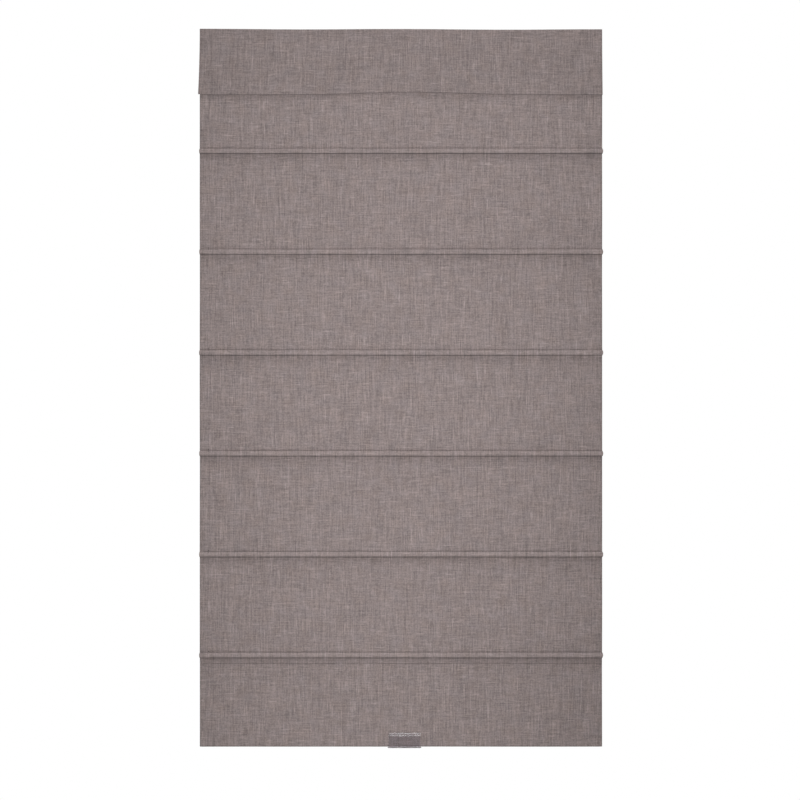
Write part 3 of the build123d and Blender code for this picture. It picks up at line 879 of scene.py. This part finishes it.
def panel(number, cloth, finish):
    """The cloth from under one tuck, or the rail, to the stitches of the next."""
    upper = f"tuck_{number - 1}" if number > 1 else "headrail"
    lower = f"tuck_{number}"
    top = (SKIRT_Y, STITCH_Z[number - 1]) if number > 1 else (CLOTH_Y, RAIL_FOOT_Z)
    foot = (CLOTH_Y, STITCH_Z[number])
    height = top[1] - foot[1]
    belly = cloth.belly if number > 1 else 0.0
    profile = panel_profile(top, foot, cloth, belly, SWELL_REACH)
    place = partial(rippled, top_z=top[1], height=height, layer=number, curl=cloth.curl)
    rows = woven(profile, hemmed_columns(), -top[1], place)
    piece = cloth_piece(f"panel_cloth_{number}", [rows], finish)
    gathers(piece, upper, lower, top[1], height)
    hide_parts("shade_cloth")


TUCK_BROW = 0.45  # how high up the tuck its front turns plumb
TUCK_END = 0.02
TUCK_END_LEFT = 0.0015
TUCK_END_RIGHT = 0.0024
TUCK_END_ROUND = 0.6
FOLD_SHADE_FADE = 0.55  # how far the painted shade in the folds weakens from the top tuck to the lowest
FOLD_SHADE_FADE_POWER = 0.5


def tuck(number, finish):
    """A loop of cloth sewn round its rod."""
    front = (CLOTH_Y, STITCH_Z[number])
    back = (CLOTH_Y + THICKNESS, STITCH_Z[number])
    centre = (ROD[number].y, ROD[number].z)
    radius = ROD_RADIUS + FIT + THICKNESS / 2
    end = tangent_angle(back, centre, radius, -1) + 2 * pi
    loop = arc(centre, radius, pi, end, TUCK_LOOP_STEPS)
    brow = (loop[0][0], centre[1] + TUCK_BROW * (front[1] - centre[1]))
    profile = bend(front, brow, loop[0], TUCK_FRONT_STEPS)[:-1] + loop
    profile += line(loop[-1], back, TUCK_BACK_STEP)[1:]
    foot_z = centre[1] - radius
    depth = front[1] - foot_z

    def place(x, y, z):
        out = max(0.0, abs(x) - HALF_WIDTH + TUCK_END) / TUCK_END
        bulge = max(0.0, sin(pi * (front[1] - z) / depth)) ** TUCK_END_ROUND * out**2
        reach = TUCK_END_RIGHT if x > 0 else -TUCK_END_LEFT
        x, y, z = hung(x, y, z, 0.0)
        return x + reach * bulge, y, z

    # painted shade at the tuck's foot, weaker on the lower tucks
    fade = 1 - FOLD_SHADE_FADE * ((number - 1) / (LAST_TUCK - 1)) ** FOLD_SHADE_FADE_POWER

    def crease(z):
        return fade * fold_shade_share(z, foot_z)

    rows = woven(profile, plain_columns(), -front[1], place, crease)
    piece = cloth_piece(f"tuck_cloth_{number}", [rows], finish)
    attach(piece, f"tuck_{number}")
    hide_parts("shade_cloth")
    flat = (2 * HALF_WIDTH, length_of(profile))


def heading(cloth, finish):
    """The top of the cloth, flat on its tape."""
    profile = line((CLOTH_Y, HEADING_TOP_Z), (CLOTH_Y, RAIL_FOOT_Z), ROW_STEP)
    rows = woven(profile, plain_columns(), -HEADING_TOP_Z, partial(hung, curl=cloth.curl))
    piece = cloth_piece("heading_cloth", [rows], finish)
    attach(piece, "headrail")
    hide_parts("shade_cloth")
    flat = (2 * HALF_WIDTH, length_of(profile))


SKIRT_LAYER = 9.0
REAR_START = 1.0  # further along the cloth, so that its weave isn't the face's


def skirt(cloth, finish):
    """The deep bottom hem: its head under the last tuck, the double skirt and the bar's pocket."""
    place = partial(hung, curl=cloth.curl)
    last = f"tuck_{LAST_TUCK}"
    stitch_z = STITCH_Z[LAST_TUCK]
    pocket_z = BAR_HIGH.z + POCKET_ROOM
    height = SEAM_Z - pocket_z
    bar_radius = (BAR_HIGH.y - BAR_LOW.y) / 2
    radius = bar_radius + FIT + THICKNESS / 2
    loop = (SKIRT_Y + radius, BAR_LOW.z + bar_radius)
    back_y = SKIRT_Y + 2 * radius
    lap_y = SKIRT_Y + THICKNESS
    columns = plain_columns()

    head = panel_profile((SKIRT_Y, stitch_z), (SKIRT_Y, SEAM_Z), cloth, 0.0, HEAD_SWELL_REACH)
    turning = line((lap_y, SEAM_Z + SEAM_TURNING), (lap_y, SEAM_Z), ROW_STEP)
    sheets = [woven(head, columns, -stitch_z, place), woven(turning, columns, -SEAM_Z, place)]
    piece = cloth_piece("skirt_head", sheets, finish)
    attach(piece, last)
    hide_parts("shade_cloth")
    flat = (2 * HALF_WIDTH, length_of(head) + length_of(turning))

    face = line((SKIRT_Y, SEAM_Z), (SKIRT_Y, pocket_z), ROW_STEP)
    rear = line((lap_y, SEAM_Z), (back_y, pocket_z), ROW_STEP)
    ripple = partial(rippled, top_z=SEAM_Z, height=height, layer=SKIRT_LAYER, curl=cloth.curl)
    sheets = [
        woven(face, columns, -SEAM_Z, ripple),
        woven(rear, columns, -SEAM_Z + REAR_START, ripple),
    ]
    piece = cloth_piece("skirt_cloth", sheets, finish)
    gathers(piece, last, LIFT["child"], SEAM_Z, height)
    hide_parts("shade_cloth")
    flat = (2 * HALF_WIDTH, length_of(face) + length_of(rear))

    pocket = line((SKIRT_Y, pocket_z), (SKIRT_Y, loop[1]), ROW_STEP)[:-1]
    pocket += arc(loop, radius, pi, 2 * pi, BAR_LOOP_STEPS)
    pocket += line((back_y, loop[1]), (back_y, pocket_z), ROW_STEP)[1:]
    piece = cloth_piece("bottom_hem", [woven(pocket, columns, -pocket_z, place)], finish)
    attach(piece, LIFT["child"])
    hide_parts("shade_cloth")
    flat = (2 * HALF_WIDTH, length_of(pocket))


VALANCE_ROLL = 0.0013
VALANCE_FOLD_SHADE = 0.6  # of a tuck's painted fold shade
VALANCE_START = 3.0  # along the cloth, so that its weave isn't a panel's
TOP_TILT = 0.0006
TOP_WAVE = 0.0006
FOOT_DROP = 0.0029  # below its true line, away from the middle
FOOT_RISE_PLACE = 0.009
FOOT_RISE_LEFT, FOOT_RISE_RIGHT = 0.131, 0.170
CORNER_LIFT = 0.0018
CORNER_WIDTH = 0.05
FLARE_RIGHT_SHARE = 0.3
FLARE_POWER = 1.8
VALANCE_SWELL = 0.003
SWELL_SIZE = 0.19
SWELL_LAYER = 5.0
SWELL_MIDDLE = 0.5
DENT = 0.0012
DENT_PLACE = (0.421, -0.098)
DENT_LONG, DENT_WIDE = 0.014, 0.0035
DENT_LEAN = radians(50)


def valance(cloth, finish):
    """The flap over the headrail, turned over at its top and hemmed at its foot."""
    front_y = low("valance").y + THICKNESS / 2
    back_y = high("valance").y - THICKNESS / 2
    radius = (back_y - front_y) / 2
    middle_y = (front_y + back_y) / 2
    top_z = TOP_Z - THICKNESS / 2 - radius
    foot_z = VALANCE_FOOT_Z + THICKNESS / 2 + radius
    profile = line((back_y, top_z - VALANCE_TOP_HEM), (back_y, top_z), ROW_STEP)[:-1]
    profile += arc((middle_y, top_z), radius, 0, pi, VALANCE_FOLD_STEPS)
    profile += line((front_y, top_z), (front_y, foot_z), ROW_STEP)[1:-1]
    profile += arc((middle_y, foot_z), radius, pi, 2 * pi, VALANCE_FOLD_STEPS)
    profile += line((back_y, foot_z), (back_y, foot_z + VALANCE_FOOT_HEM), ROW_STEP)[1:]

    def place(x, y, z):
        fall = (top_z - z) / (top_z - foot_z)
        side = x / HALF_WIDTH
        front = (back_y - y) / (back_y - front_y)
        past = max(0.0, abs(x) - HALF_WIDTH + CURL_REACH) / CURL_REACH
        spread = side if side < 0 else side * FLARE_RIGHT_SHARE
        flare = cloth.flare * spread * max(0.0, fall) ** FLARE_POWER
        top_wave = TOP_WAVE * cos(2 * pi * side) - TOP_TILT * side
        off = x - FOOT_RISE_PLACE
        reach = FOOT_RISE_LEFT if off < 0 else FOOT_RISE_RIGHT
        rise = cloth.wave * exp(-((off / reach) ** 2))
        corner = max(0.0, CORNER_WIDTH - HALF_WIDTH - x) / CORNER_WIDTH
        foot_wave = rise - FOOT_DROP + CORNER_LIFT * corner**2
        swell = SWELL_MIDDLE + noise.noise(Vector((x / SWELL_SIZE, SWELL_LAYER, 0.0)))
        swell = VALANCE_SWELL * fall**2 * swell
        across, up = x - DENT_PLACE[0], z - DENT_PLACE[1]
        along = across * cos(DENT_LEAN) + up * sin(DENT_LEAN)
        aside = up * cos(DENT_LEAN) - across * sin(DENT_LEAN)
        dent = DENT * exp(-((along / DENT_LONG) ** 2) - (aside / DENT_WIDE) ** 2)
        y += VALANCE_ROLL * past**2 * front - max(0.0, swell) + dent
        return x + flare, y, z + top_wave * (1 - fall) + foot_wave * fall

    # painted shade along the valance's foot edge
    def crease(z):
        return VALANCE_FOLD_SHADE * fold_shade_share(z, VALANCE_FOOT_Z)

    rows = woven(profile, plain_columns(), VALANCE_START, place, crease)
    piece = cloth_piece("valance_cloth", [rows], finish)
    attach(piece, "headrail")
    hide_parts("valance")
    flat = (2 * HALF_WIDTH, length_of(profile))


# Stitches


STITCH_WOBBLE = radians(5)
STITCH_SEED = 11
STITCH_STAND = 0.2  # of its thread, from the cloth's face to the middle of a stitch


def stitch_tree():
    """A node tree that lays stitches along the seams of a mesh of lines."""
    tree = bpy.data.node_groups.new("Stitch row", "GeometryNodeTree")
    tree.is_modifier = True
    tree.interface.new_socket("Seams", in_out="INPUT", socket_type="NodeSocketGeometry")
    for name in ("Pitch", "Length", "Thread"):
        tree.interface.new_socket(name, in_out="INPUT", socket_type="NodeSocketFloat")
    tree.interface.new_socket("Finish", in_out="INPUT", socket_type="NodeSocketMaterial")
    tree.interface.new_socket("Stitches", in_out="OUTPUT", socket_type="NodeSocketGeometry")
    board = Board(tree)
    entry = tree.nodes.new("NodeGroupInput")
    given = {socket.name: Wire(board, socket) for socket in entry.outputs}
    lines = board.node("GeometryNodeMeshToCurve", {}, {"Mesh": given["Seams"]})
    points = board.node(
        "GeometryNodeResampleCurve", {"mode": "LENGTH"}, {"Curve": lines, "Length": given["Pitch"]}
    )
    tangent = board.node("GeometryNodeInputTangent")
    laid = board.node("FunctionNodeAlignRotationToVector", {"axis": "X"}, {"Vector": tangent})
    shake = board.node(
        "FunctionNodeRandomValue",
        {"data_type": "FLOAT_VECTOR"},
        {0: (-STITCH_WOBBLE,) * 3, 1: (STITCH_WOBBLE,) * 3, "Seed": STITCH_SEED},
    )
    shaken = board.node("FunctionNodeEulerToRotation", {}, {"Euler": shake})
    local = {"rotation_space": "LOCAL"}
    turned = board.node("FunctionNodeRotateRotation", local, {0: laid, 1: shaken})
    bead = board.node("GeometryNodeMeshUVSphere", {}, {"Segments": 6, "Rings": 4, "Radius": 0.5})
    thread = given["Thread"]
    size = board.node("ShaderNodeCombineXYZ", {}, {"X": given["Length"], "Y": thread, "Z": thread})
    stitches = board.node(
        "GeometryNodeInstanceOnPoints",
        {},
        {"Points": points, "Instance": bead, "Rotation": turned, "Scale": size},
    )
    solid = board.node("GeometryNodeRealizeInstances", {}, {"Geometry": stitches})
    smooth = board.node("GeometryNodeSetShadeSmooth", {}, {"Geometry": solid})
    sockets = {"Geometry": smooth, "Material": given["Finish"]}
    made = board.node("GeometryNodeSetMaterial", {}, sockets)
    board.join(tree.nodes.new("NodeGroupOutput").inputs["Stitches"], made)
    return tree


def sewn(name, seams, body, tree, stitch, finish):
    """Stitches along seams, made by the tree and kept as a plain mesh on one body."""
    places, edges = [], []
    for seam in seams:
        first = len(places)
        places += seam
        edges += [(first + i, first + i + 1) for i in range(len(seam) - 1)]
    mesh = bpy.data.meshes.new(name)
    mesh.from_pydata(places, edges, [])
    piece = added(name, mesh, finish)
    modifier = piece.modifiers.new("Stitches", "NODES")
    modifier.node_group = tree
    inputs = {
        "Pitch": stitch.pitch,
        "Length": stitch.length,
        "Thread": stitch.thread,
        "Finish": finish,
    }
    for item in tree.interface.items_tree:
        if item.in_out == "INPUT" and item.name in inputs:
            modifier[item.identifier] = inputs[item.name]
    graph = bpy.context.evaluated_depsgraph_get()
    made = bpy.data.meshes.new_from_object(piece.evaluated_get(graph))
    piece.modifiers.clear()
    piece.data = made
    bpy.data.meshes.remove(mesh)
    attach(piece, body)


SEAM_START = 0.030  # from the left side of the cloth to the first stitch
SEAM_END = 0.002  # from the last stitch to the right side
SEAM_STEP = 0.01
TACK_PLACE = 0.0195  # from the left side to the tack that locks a seam
TACK_HEIGHT = 0.0045
TACK_WIDTH = 0.0012


def seam_line(y, z):
    """The line of a seam across the cloth."""
    start = SEAM_START - HALF_WIDTH
    length = HALF_WIDTH - SEAM_END - start
    count = round(length / SEAM_STEP)
    return [hung(start + length * i / count, y, z, 0.0) for i in range(count + 1)]


def tack_lines(y, z):
    """Short lines of thread, side by side, that lock the start of a seam."""
    lines = []
    for side in (-1, 0, 1):
        x = TACK_PLACE - HALF_WIDTH + side * TACK_WIDTH / 2
        lines.append([hung(x, y, z + TACK_HEIGHT / 2, 0.0), hung(x, y, z - TACK_HEIGHT / 2, 0.0)])
    return lines


# Operators


def linen(cloth):
    """The cloth's finish, made once and then shared."""
    return bpy.data.materials.get("slubbed_linen") or linen_finish("slubbed_linen", cloth)


def white_moulding(hardware):
    """The white plastic's finish, made once and then shared."""
    name = "white_moulding"
    made = bpy.data.materials.get(name)
    return made or moulded_finish(name, hardware.white, roughness=0.36)


def dress(finish, *starts):
    """Gives a finish to every CAD node whose name starts so."""
    for node, piece in frame["nodes"].items():
        if node.startswith(starts):
            piece.data.materials.clear()
            piece.data.materials.append(finish)


FLOOR_SIDES = 96
KEY_PLACE = (-0.01, -4.0, -0.5)
KEY_TILT = radians(98.5)
KEY_LEAN = radians(4)  # its fade's top to the right
KEY_CONE = radians(92)
KEY_NARROWING = 0.285  # of its cone, across
KEY_RADIUS = 0.25
SOFTBOX_SIZE = (0.18, 0.14)
SOFTBOX_PLACE = (0.01, -1.15, -0.94)
SOFTBOX_TILT = radians(60)
OVERHEAD_PLACE = (0.0, -0.8, 1.2)
OVERHEAD_ELEVATION = radians(72)
OVERHEAD_SPREAD = radians(36)
REAR_PLACE = (0.0, 2.0, -0.6)
REAR_ELEVATION = radians(6)
REAR_SPREAD = radians(10)


class BLIND_OT_stage(bpy.types.Operator):
    """Sets the camera, a pale floor and soft light"""

    bl_idname = "blind.stage"
    bl_label = "Set the stage"

    def execute(self, context):
        stage = context.scene.blind_stage
        context.scene.view_settings.view_transform = "Standard"
        metres = 2 * HALF_WIDTH / (BLIND_RIGHT_PIXEL - BLIND_LEFT_PIXEL)
        half_photo = PHOTO_SIDE / 2
        eye_x = (half_photo - (BLIND_LEFT_PIXEL + BLIND_RIGHT_PIXEL) / 2) * metres
        eye_z = TOP_Z - (half_photo - BLIND_TOP_PIXEL) * metres
        camera = bpy.data.cameras.new("Camera")
        camera.lens = camera.sensor_width * stage.distance / (PHOTO_SIDE * metres)
        eye = bpy.data.objects.new("Camera", camera)
        eye.location = (eye_x, CLOTH_Y - stage.distance, eye_z)
        eye.rotation_euler = (pi / 2, 0, 0)
        context.scene.collection.objects.link(eye)
        context.scene.camera = eye
        self.floor(stage)
        self.sky(context, stage)
        self.key(context, stage)
        self.softbox(context, stage)
        self.overhead(context, stage)
        self.rear(context, stage)
        return {"FINISHED"}

    def floor(self, stage):
        mesh = bpy.data.meshes.new("Floor")
        disc = bmesh.new()
        bmesh.ops.create_circle(
            disc, cap_ends=True, segments=FLOOR_SIDES, radius=stage.floor_radius
        )
        bmesh.ops.translate(disc, verts=disc.verts, vec=(0, 0, CAD_BOX[0].z - stage.floor_drop))
        disc.to_mesh(mesh)
        disc.free()
        finish = Finish("pale_floor")
        mottle = finish.mottled(FLOOR_MOTTLE, detail=2.0)
        colour = finish.mix(mottle, FLOOR_DARK, FLOOR_PALE)
        added("Floor", mesh, finish.surface({"Base Color": colour, "Roughness": 0.8}))

    def sky(self, context, stage):
        """White where it is seen, directly or in gloss or glass, and plain grey as light."""
        world = bpy.data.worlds.new("Studio")
        context.scene.world = world
        world.use_nodes = True
        world.node_tree.nodes.clear()
        board = Board(world.node_tree)
        path = board.node("ShaderNodeLightPath").socket.node
        seen = Wire(board, path.outputs["Is Camera Ray"])
        for ray in ("Is Glossy Ray", "Is Transmission Ray"):
            seen = seen.larger(Wire(board, path.outputs[ray]))
        light = board.node("ShaderNodeBackground", {}, {"Color": WHITE, "Strength": stage.sky})
        white = board.node("ShaderNodeBackground", {}, {"Color": WHITE, "Strength": 1.0})
        both = board.node("ShaderNodeMixShader", {}, {0: seen, 1: light, 2: white})
        board.node("ShaderNodeOutputWorld", {}, {"Surface": both})

    def key(self, context, stage):
        """A far lamp in front, aimed a little up, that fades towards the sides and the foot."""
        light = bpy.data.lights.new("Key", "SPOT")
        light.energy = stage.key
        light.shadow_soft_size = KEY_RADIUS
        light.spot_size = KEY_CONE
        light.spot_blend = 1.0
        lamp = self.hang(context, light, KEY_PLACE, KEY_TILT, KEY_LEAN, mirrored=False)
        lamp.scale.x = KEY_NARROWING

    def softbox(self, context, stage):
        """A small lamp that the handle's ribs mirror."""
        light = bpy.data.lights.new("Softbox", "AREA")
        light.shape = "RECTANGLE"
        light.size, light.size_y = SOFTBOX_SIZE
        light.energy = stage.softbox
        self.hang(context, light, SOFTBOX_PLACE, SOFTBOX_TILT)

    def overhead(self, context, stage):
        """A broad light from above, which gives the tucks their shadows."""
        light = bpy.data.lights.new("Overhead", "SUN")
        light.energy = stage.overhead
        light.angle = OVERHEAD_SPREAD
        self.hang(context, light, OVERHEAD_PLACE, pi / 2 - OVERHEAD_ELEVATION)

    def rear(self, context, stage):
        """A nearly level light on the back, which the floor hardly catches."""
        light = bpy.data.lights.new("Rear", "SUN")
        light.energy = stage.rear
        light.angle = REAR_SPREAD
        self.hang(context, light, REAR_PLACE, REAR_ELEVATION - pi / 2, mirrored=False)

    def hang(self, context, light, place, tilt, lean=0, mirrored=True):
        """A lamp tilted towards the wall, or from it below nought; untilted, it shines down."""
        lamp = bpy.data.objects.new(light.name, light)
        lamp.location = place
        lamp.rotation_euler = (tilt, lean, 0)
        lamp.visible_camera = False
        lamp.visible_glossy = mirrored
        lamp.visible_transmission = mirrored
        context.scene.collection.objects.link(lamp)
        return lamp


class BLIND_OT_panels(bpy.types.Operator):
    """Hangs the heading and the panels between the tucks"""

    bl_idname = "blind.panels"
    bl_label = "Hang the panels"

    def execute(self, context):
        cloth = context.scene.blind_cloth
        finish = linen(cloth)
        heading(cloth, finish)
        for number in TUCK_NUMBERS:
            panel(number, cloth, finish)
        return {"FINISHED"}


class BLIND_OT_tucks(bpy.types.Operator):
    """Wraps a tuck of cloth round each rod"""

    bl_idname = "blind.tucks"
    bl_label = "Wrap the tucks"

    def execute(self, context):
        finish = linen(context.scene.blind_cloth)
        for number in TUCK_NUMBERS:
            tuck(number, finish)
        return {"FINISHED"}


class BLIND_OT_skirt(bpy.types.Operator):
    """Makes the deep bottom hem and the pocket of its bar"""

    bl_idname = "blind.skirt"
    bl_label = "Make the bottom hem"

    def execute(self, context):
        cloth = context.scene.blind_cloth
        skirt(cloth, linen(cloth))
        return {"FINISHED"}


class BLIND_OT_valance(bpy.types.Operator):
    """Hangs the valance over the headrail"""

    bl_idname = "blind.valance"
    bl_label = "Hang the valance"

    def execute(self, context):
        cloth = context.scene.blind_cloth
        # painted shade: the valance's linen is a darker copy of the panels' linen
        valance(cloth, linen_finish("valance_shaded_linen", cloth, cloth.painted_valance_shade))
        return {"FINISHED"}


class BLIND_OT_stitches(bpy.types.Operator):
    """Sews the tucks and the bottom hem"""

    bl_idname = "blind.stitches"
    bl_label = "Sew the stitches"

    def execute(self, context):
        stitch = context.scene.blind_stitch
        finish = thread_finish(stitch)
        tree = stitch_tree()
        out = THICKNESS / 2 + stitch.thread * STITCH_STAND
        for number in TUCK_NUMBERS:
            z = STITCH_Z[number]
            seams = [seam_line(CLOTH_Y - out, z), seam_line(SKIRT_Y + out, z)]
            seams += tack_lines(CLOTH_Y - context.scene.blind_cloth.pillow - out, z)
            if number == LAST_TUCK:
                seams.append(seam_line(SKIRT_Y - out, SEAM_Z))
                seams.append(seam_line(SKIRT_Y + THICKNESS + out, SEAM_Z))
            sewn(f"tuck_stitches_{number}", seams, f"tuck_{number}", tree, stitch, finish)
        return {"FINISHED"}


HANDLE_CORNER = radians(40)  # edges that turn more than this are rounded
HANDLE_ROUNDING = 0.0002
HANDLE_ROUNDING_STEPS = 3
HANDLE_SHARP = radians(12)  # edges that turn more than this stay sharp
HANDLE_FLAT = radians(1)  # faces that turn less than this are one
HANDLE_WELD = 1e-6


class BLIND_OT_handle(bpy.types.Operator):
    """Rounds and clears the handle on the bottom hem"""

    bl_idname = "blind.handle"
    bl_label = "Finish the handle"

    def execute(self, context):
        finish = clear_finish(context.scene.blind_hardware.clear)
        mesh = frame["nodes"]["lift_handle"].data.copy()
        moulding = bmesh.new()
        moulding.from_mesh(mesh)
        bmesh.ops.remove_doubles(moulding, verts=moulding.verts, dist=HANDLE_WELD)
        bmesh.ops.dissolve_limit(
            moulding, angle_limit=HANDLE_FLAT, verts=moulding.verts, edges=moulding.edges
        )
        corners = [edge for edge in moulding.edges if edge.calc_face_angle(0) > HANDLE_CORNER]
        bmesh.ops.bevel(
            moulding,
            geom=corners,
            offset=HANDLE_ROUNDING,
            segments=HANDLE_ROUNDING_STEPS,
            profile=0.5,
            affect="EDGES",
            clamp_overlap=True,
        )
        moulding.normal_update()
        for edge in moulding.edges:
            edge.smooth = edge.calc_face_angle(0) < HANDLE_SHARP
        moulding.to_mesh(mesh)
        moulding.free()
        mesh.attributes.remove(mesh.attributes["custom_normal"])
        for face in mesh.polygons:
            face.use_smooth = True
        piece = added("clear_handle", mesh, finish)
        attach(piece, LIFT["child"])
        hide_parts("lift_handle")
        return {"FINISHED"}


class BLIND_OT_headrail(bpy.types.Operator):
    """Finishes the headrail, its caps, brackets and tapes"""

    bl_idname = "blind.headrail"
    bl_label = "Finish the headrail"

    def execute(self, context):
        hardware = context.scene.blind_hardware
        dress(paint_finish(hardware.paint), "headrail_channel")
        dress(white_moulding(hardware), "end_cap", "cord_anchor")
        dress(zinc_finish(ZINC), "bracket")
        hooks = tape_finish("hook_pile", HOOK_TAPE, HOOK_PILE)
        dress(hooks, "headrail_hook_tape", "valance_hook_tape")
        loops = tape_finish("loop_pile", LOOP_TAPE, LOOP_PILE)
        dress(loops, "shade_loop_tape", "valance_loop_tape")
        return {"FINISHED"}


class BLIND_OT_lift(bpy.types.Operator):
    """Finishes the spools, the spring and their housings in the rail"""

    bl_idname = "blind.lift"
    bl_label = "Finish the lift"

    def execute(self, context):
        hardware = context.scene.blind_hardware
        grey = moulded_finish("grey_moulding", hardware.grey, roughness=0.4)
        dress(grey, "motor_", "spool_cradle", "cradle_cover")
        white = moulded_finish("spool_moulding", hardware.white, roughness=0.22)
        dress(white, "cord_spool", "output_drum", "storage_drum")
        dress(drawn_metal_finish("spring_strip", SPRING_STEEL, roughness=0.2), "spring_band")
        dress(drawn_metal_finish("drawn_bar", BAR_STEEL, roughness=0.24), "lift_shaft")
        return {"FINISHED"}


class BLIND_OT_rods(bpy.types.Operator):
    """Finishes the rods, their plugs and rings, and the bottom bar"""

    bl_idname = "blind.rods"
    bl_label = "Finish the rods and bar"

    def execute(self, context):
        dress(glass_fibre_finish(GLASS_FIBRE), *(f"rod_{number}" for number in TUCK_NUMBERS))
        rings = moulded_finish("ring_moulding", RING_PLASTIC, roughness=0.2, translucent=0.35)
        dress(rings, "cord_rings")
        dress(drawn_metal_finish("extruded_aluminium", ALUMINIUM, roughness=0.28), "bottom_bar")
        dress(white_moulding(context.scene.blind_hardware), "rod_plugs", "bottom_bar_plug")
        return {"FINISHED"}


OPERATORS = (
    BLIND_OT_stage,
    BLIND_OT_panels,
    BLIND_OT_tucks,
    BLIND_OT_skirt,
    BLIND_OT_valance,
    BLIND_OT_stitches,
    BLIND_OT_handle,
    BLIND_OT_headrail,
    BLIND_OT_lift,
    BLIND_OT_rods,
)


class BLIND_PT_steps(bpy.types.Panel):
    """Lists the steps that dress the blind"""

    bl_idname = "BLIND_PT_steps"
    bl_label = "Roman blind"
    bl_space_type = "VIEW_3D"
    bl_region_type = "UI"
    bl_category = "Blind"

    def draw(self, context):
        for operator in OPERATORS:
            self.layout.operator(operator.bl_idname)


GROUPS = {
    "blind_cloth": ClothSettings,
    "blind_stitch": StitchSettings,
    "blind_hardware": HardwareSettings,
    "blind_stage": StageSettings,
}


def register():
    for kind in (*GROUPS.values(), *OPERATORS, BLIND_PT_steps):
        bpy.utils.register_class(kind)
    for name, kind in GROUPS.items():
        setattr(bpy.types.Scene, name, PointerProperty(type=kind))


def unregister():
    for name in GROUPS:
        delattr(bpy.types.Scene, name)
    for kind in (BLIND_PT_steps, *reversed(OPERATORS), *GROUPS.values()):
        bpy.utils.unregister_class(kind)


def main():
    register()
    bpy.ops.blind.stage()
    bpy.ops.blind.panels()
    bpy.ops.blind.tucks()
    bpy.ops.blind.skirt()
    bpy.ops.blind.valance()
    bpy.ops.blind.stitches()
    bpy.ops.blind.handle()
    bpy.ops.blind.headrail()
    bpy.ops.blind.lift()
    bpy.ops.blind.rods()


if __name__ == "__main__":
    main()
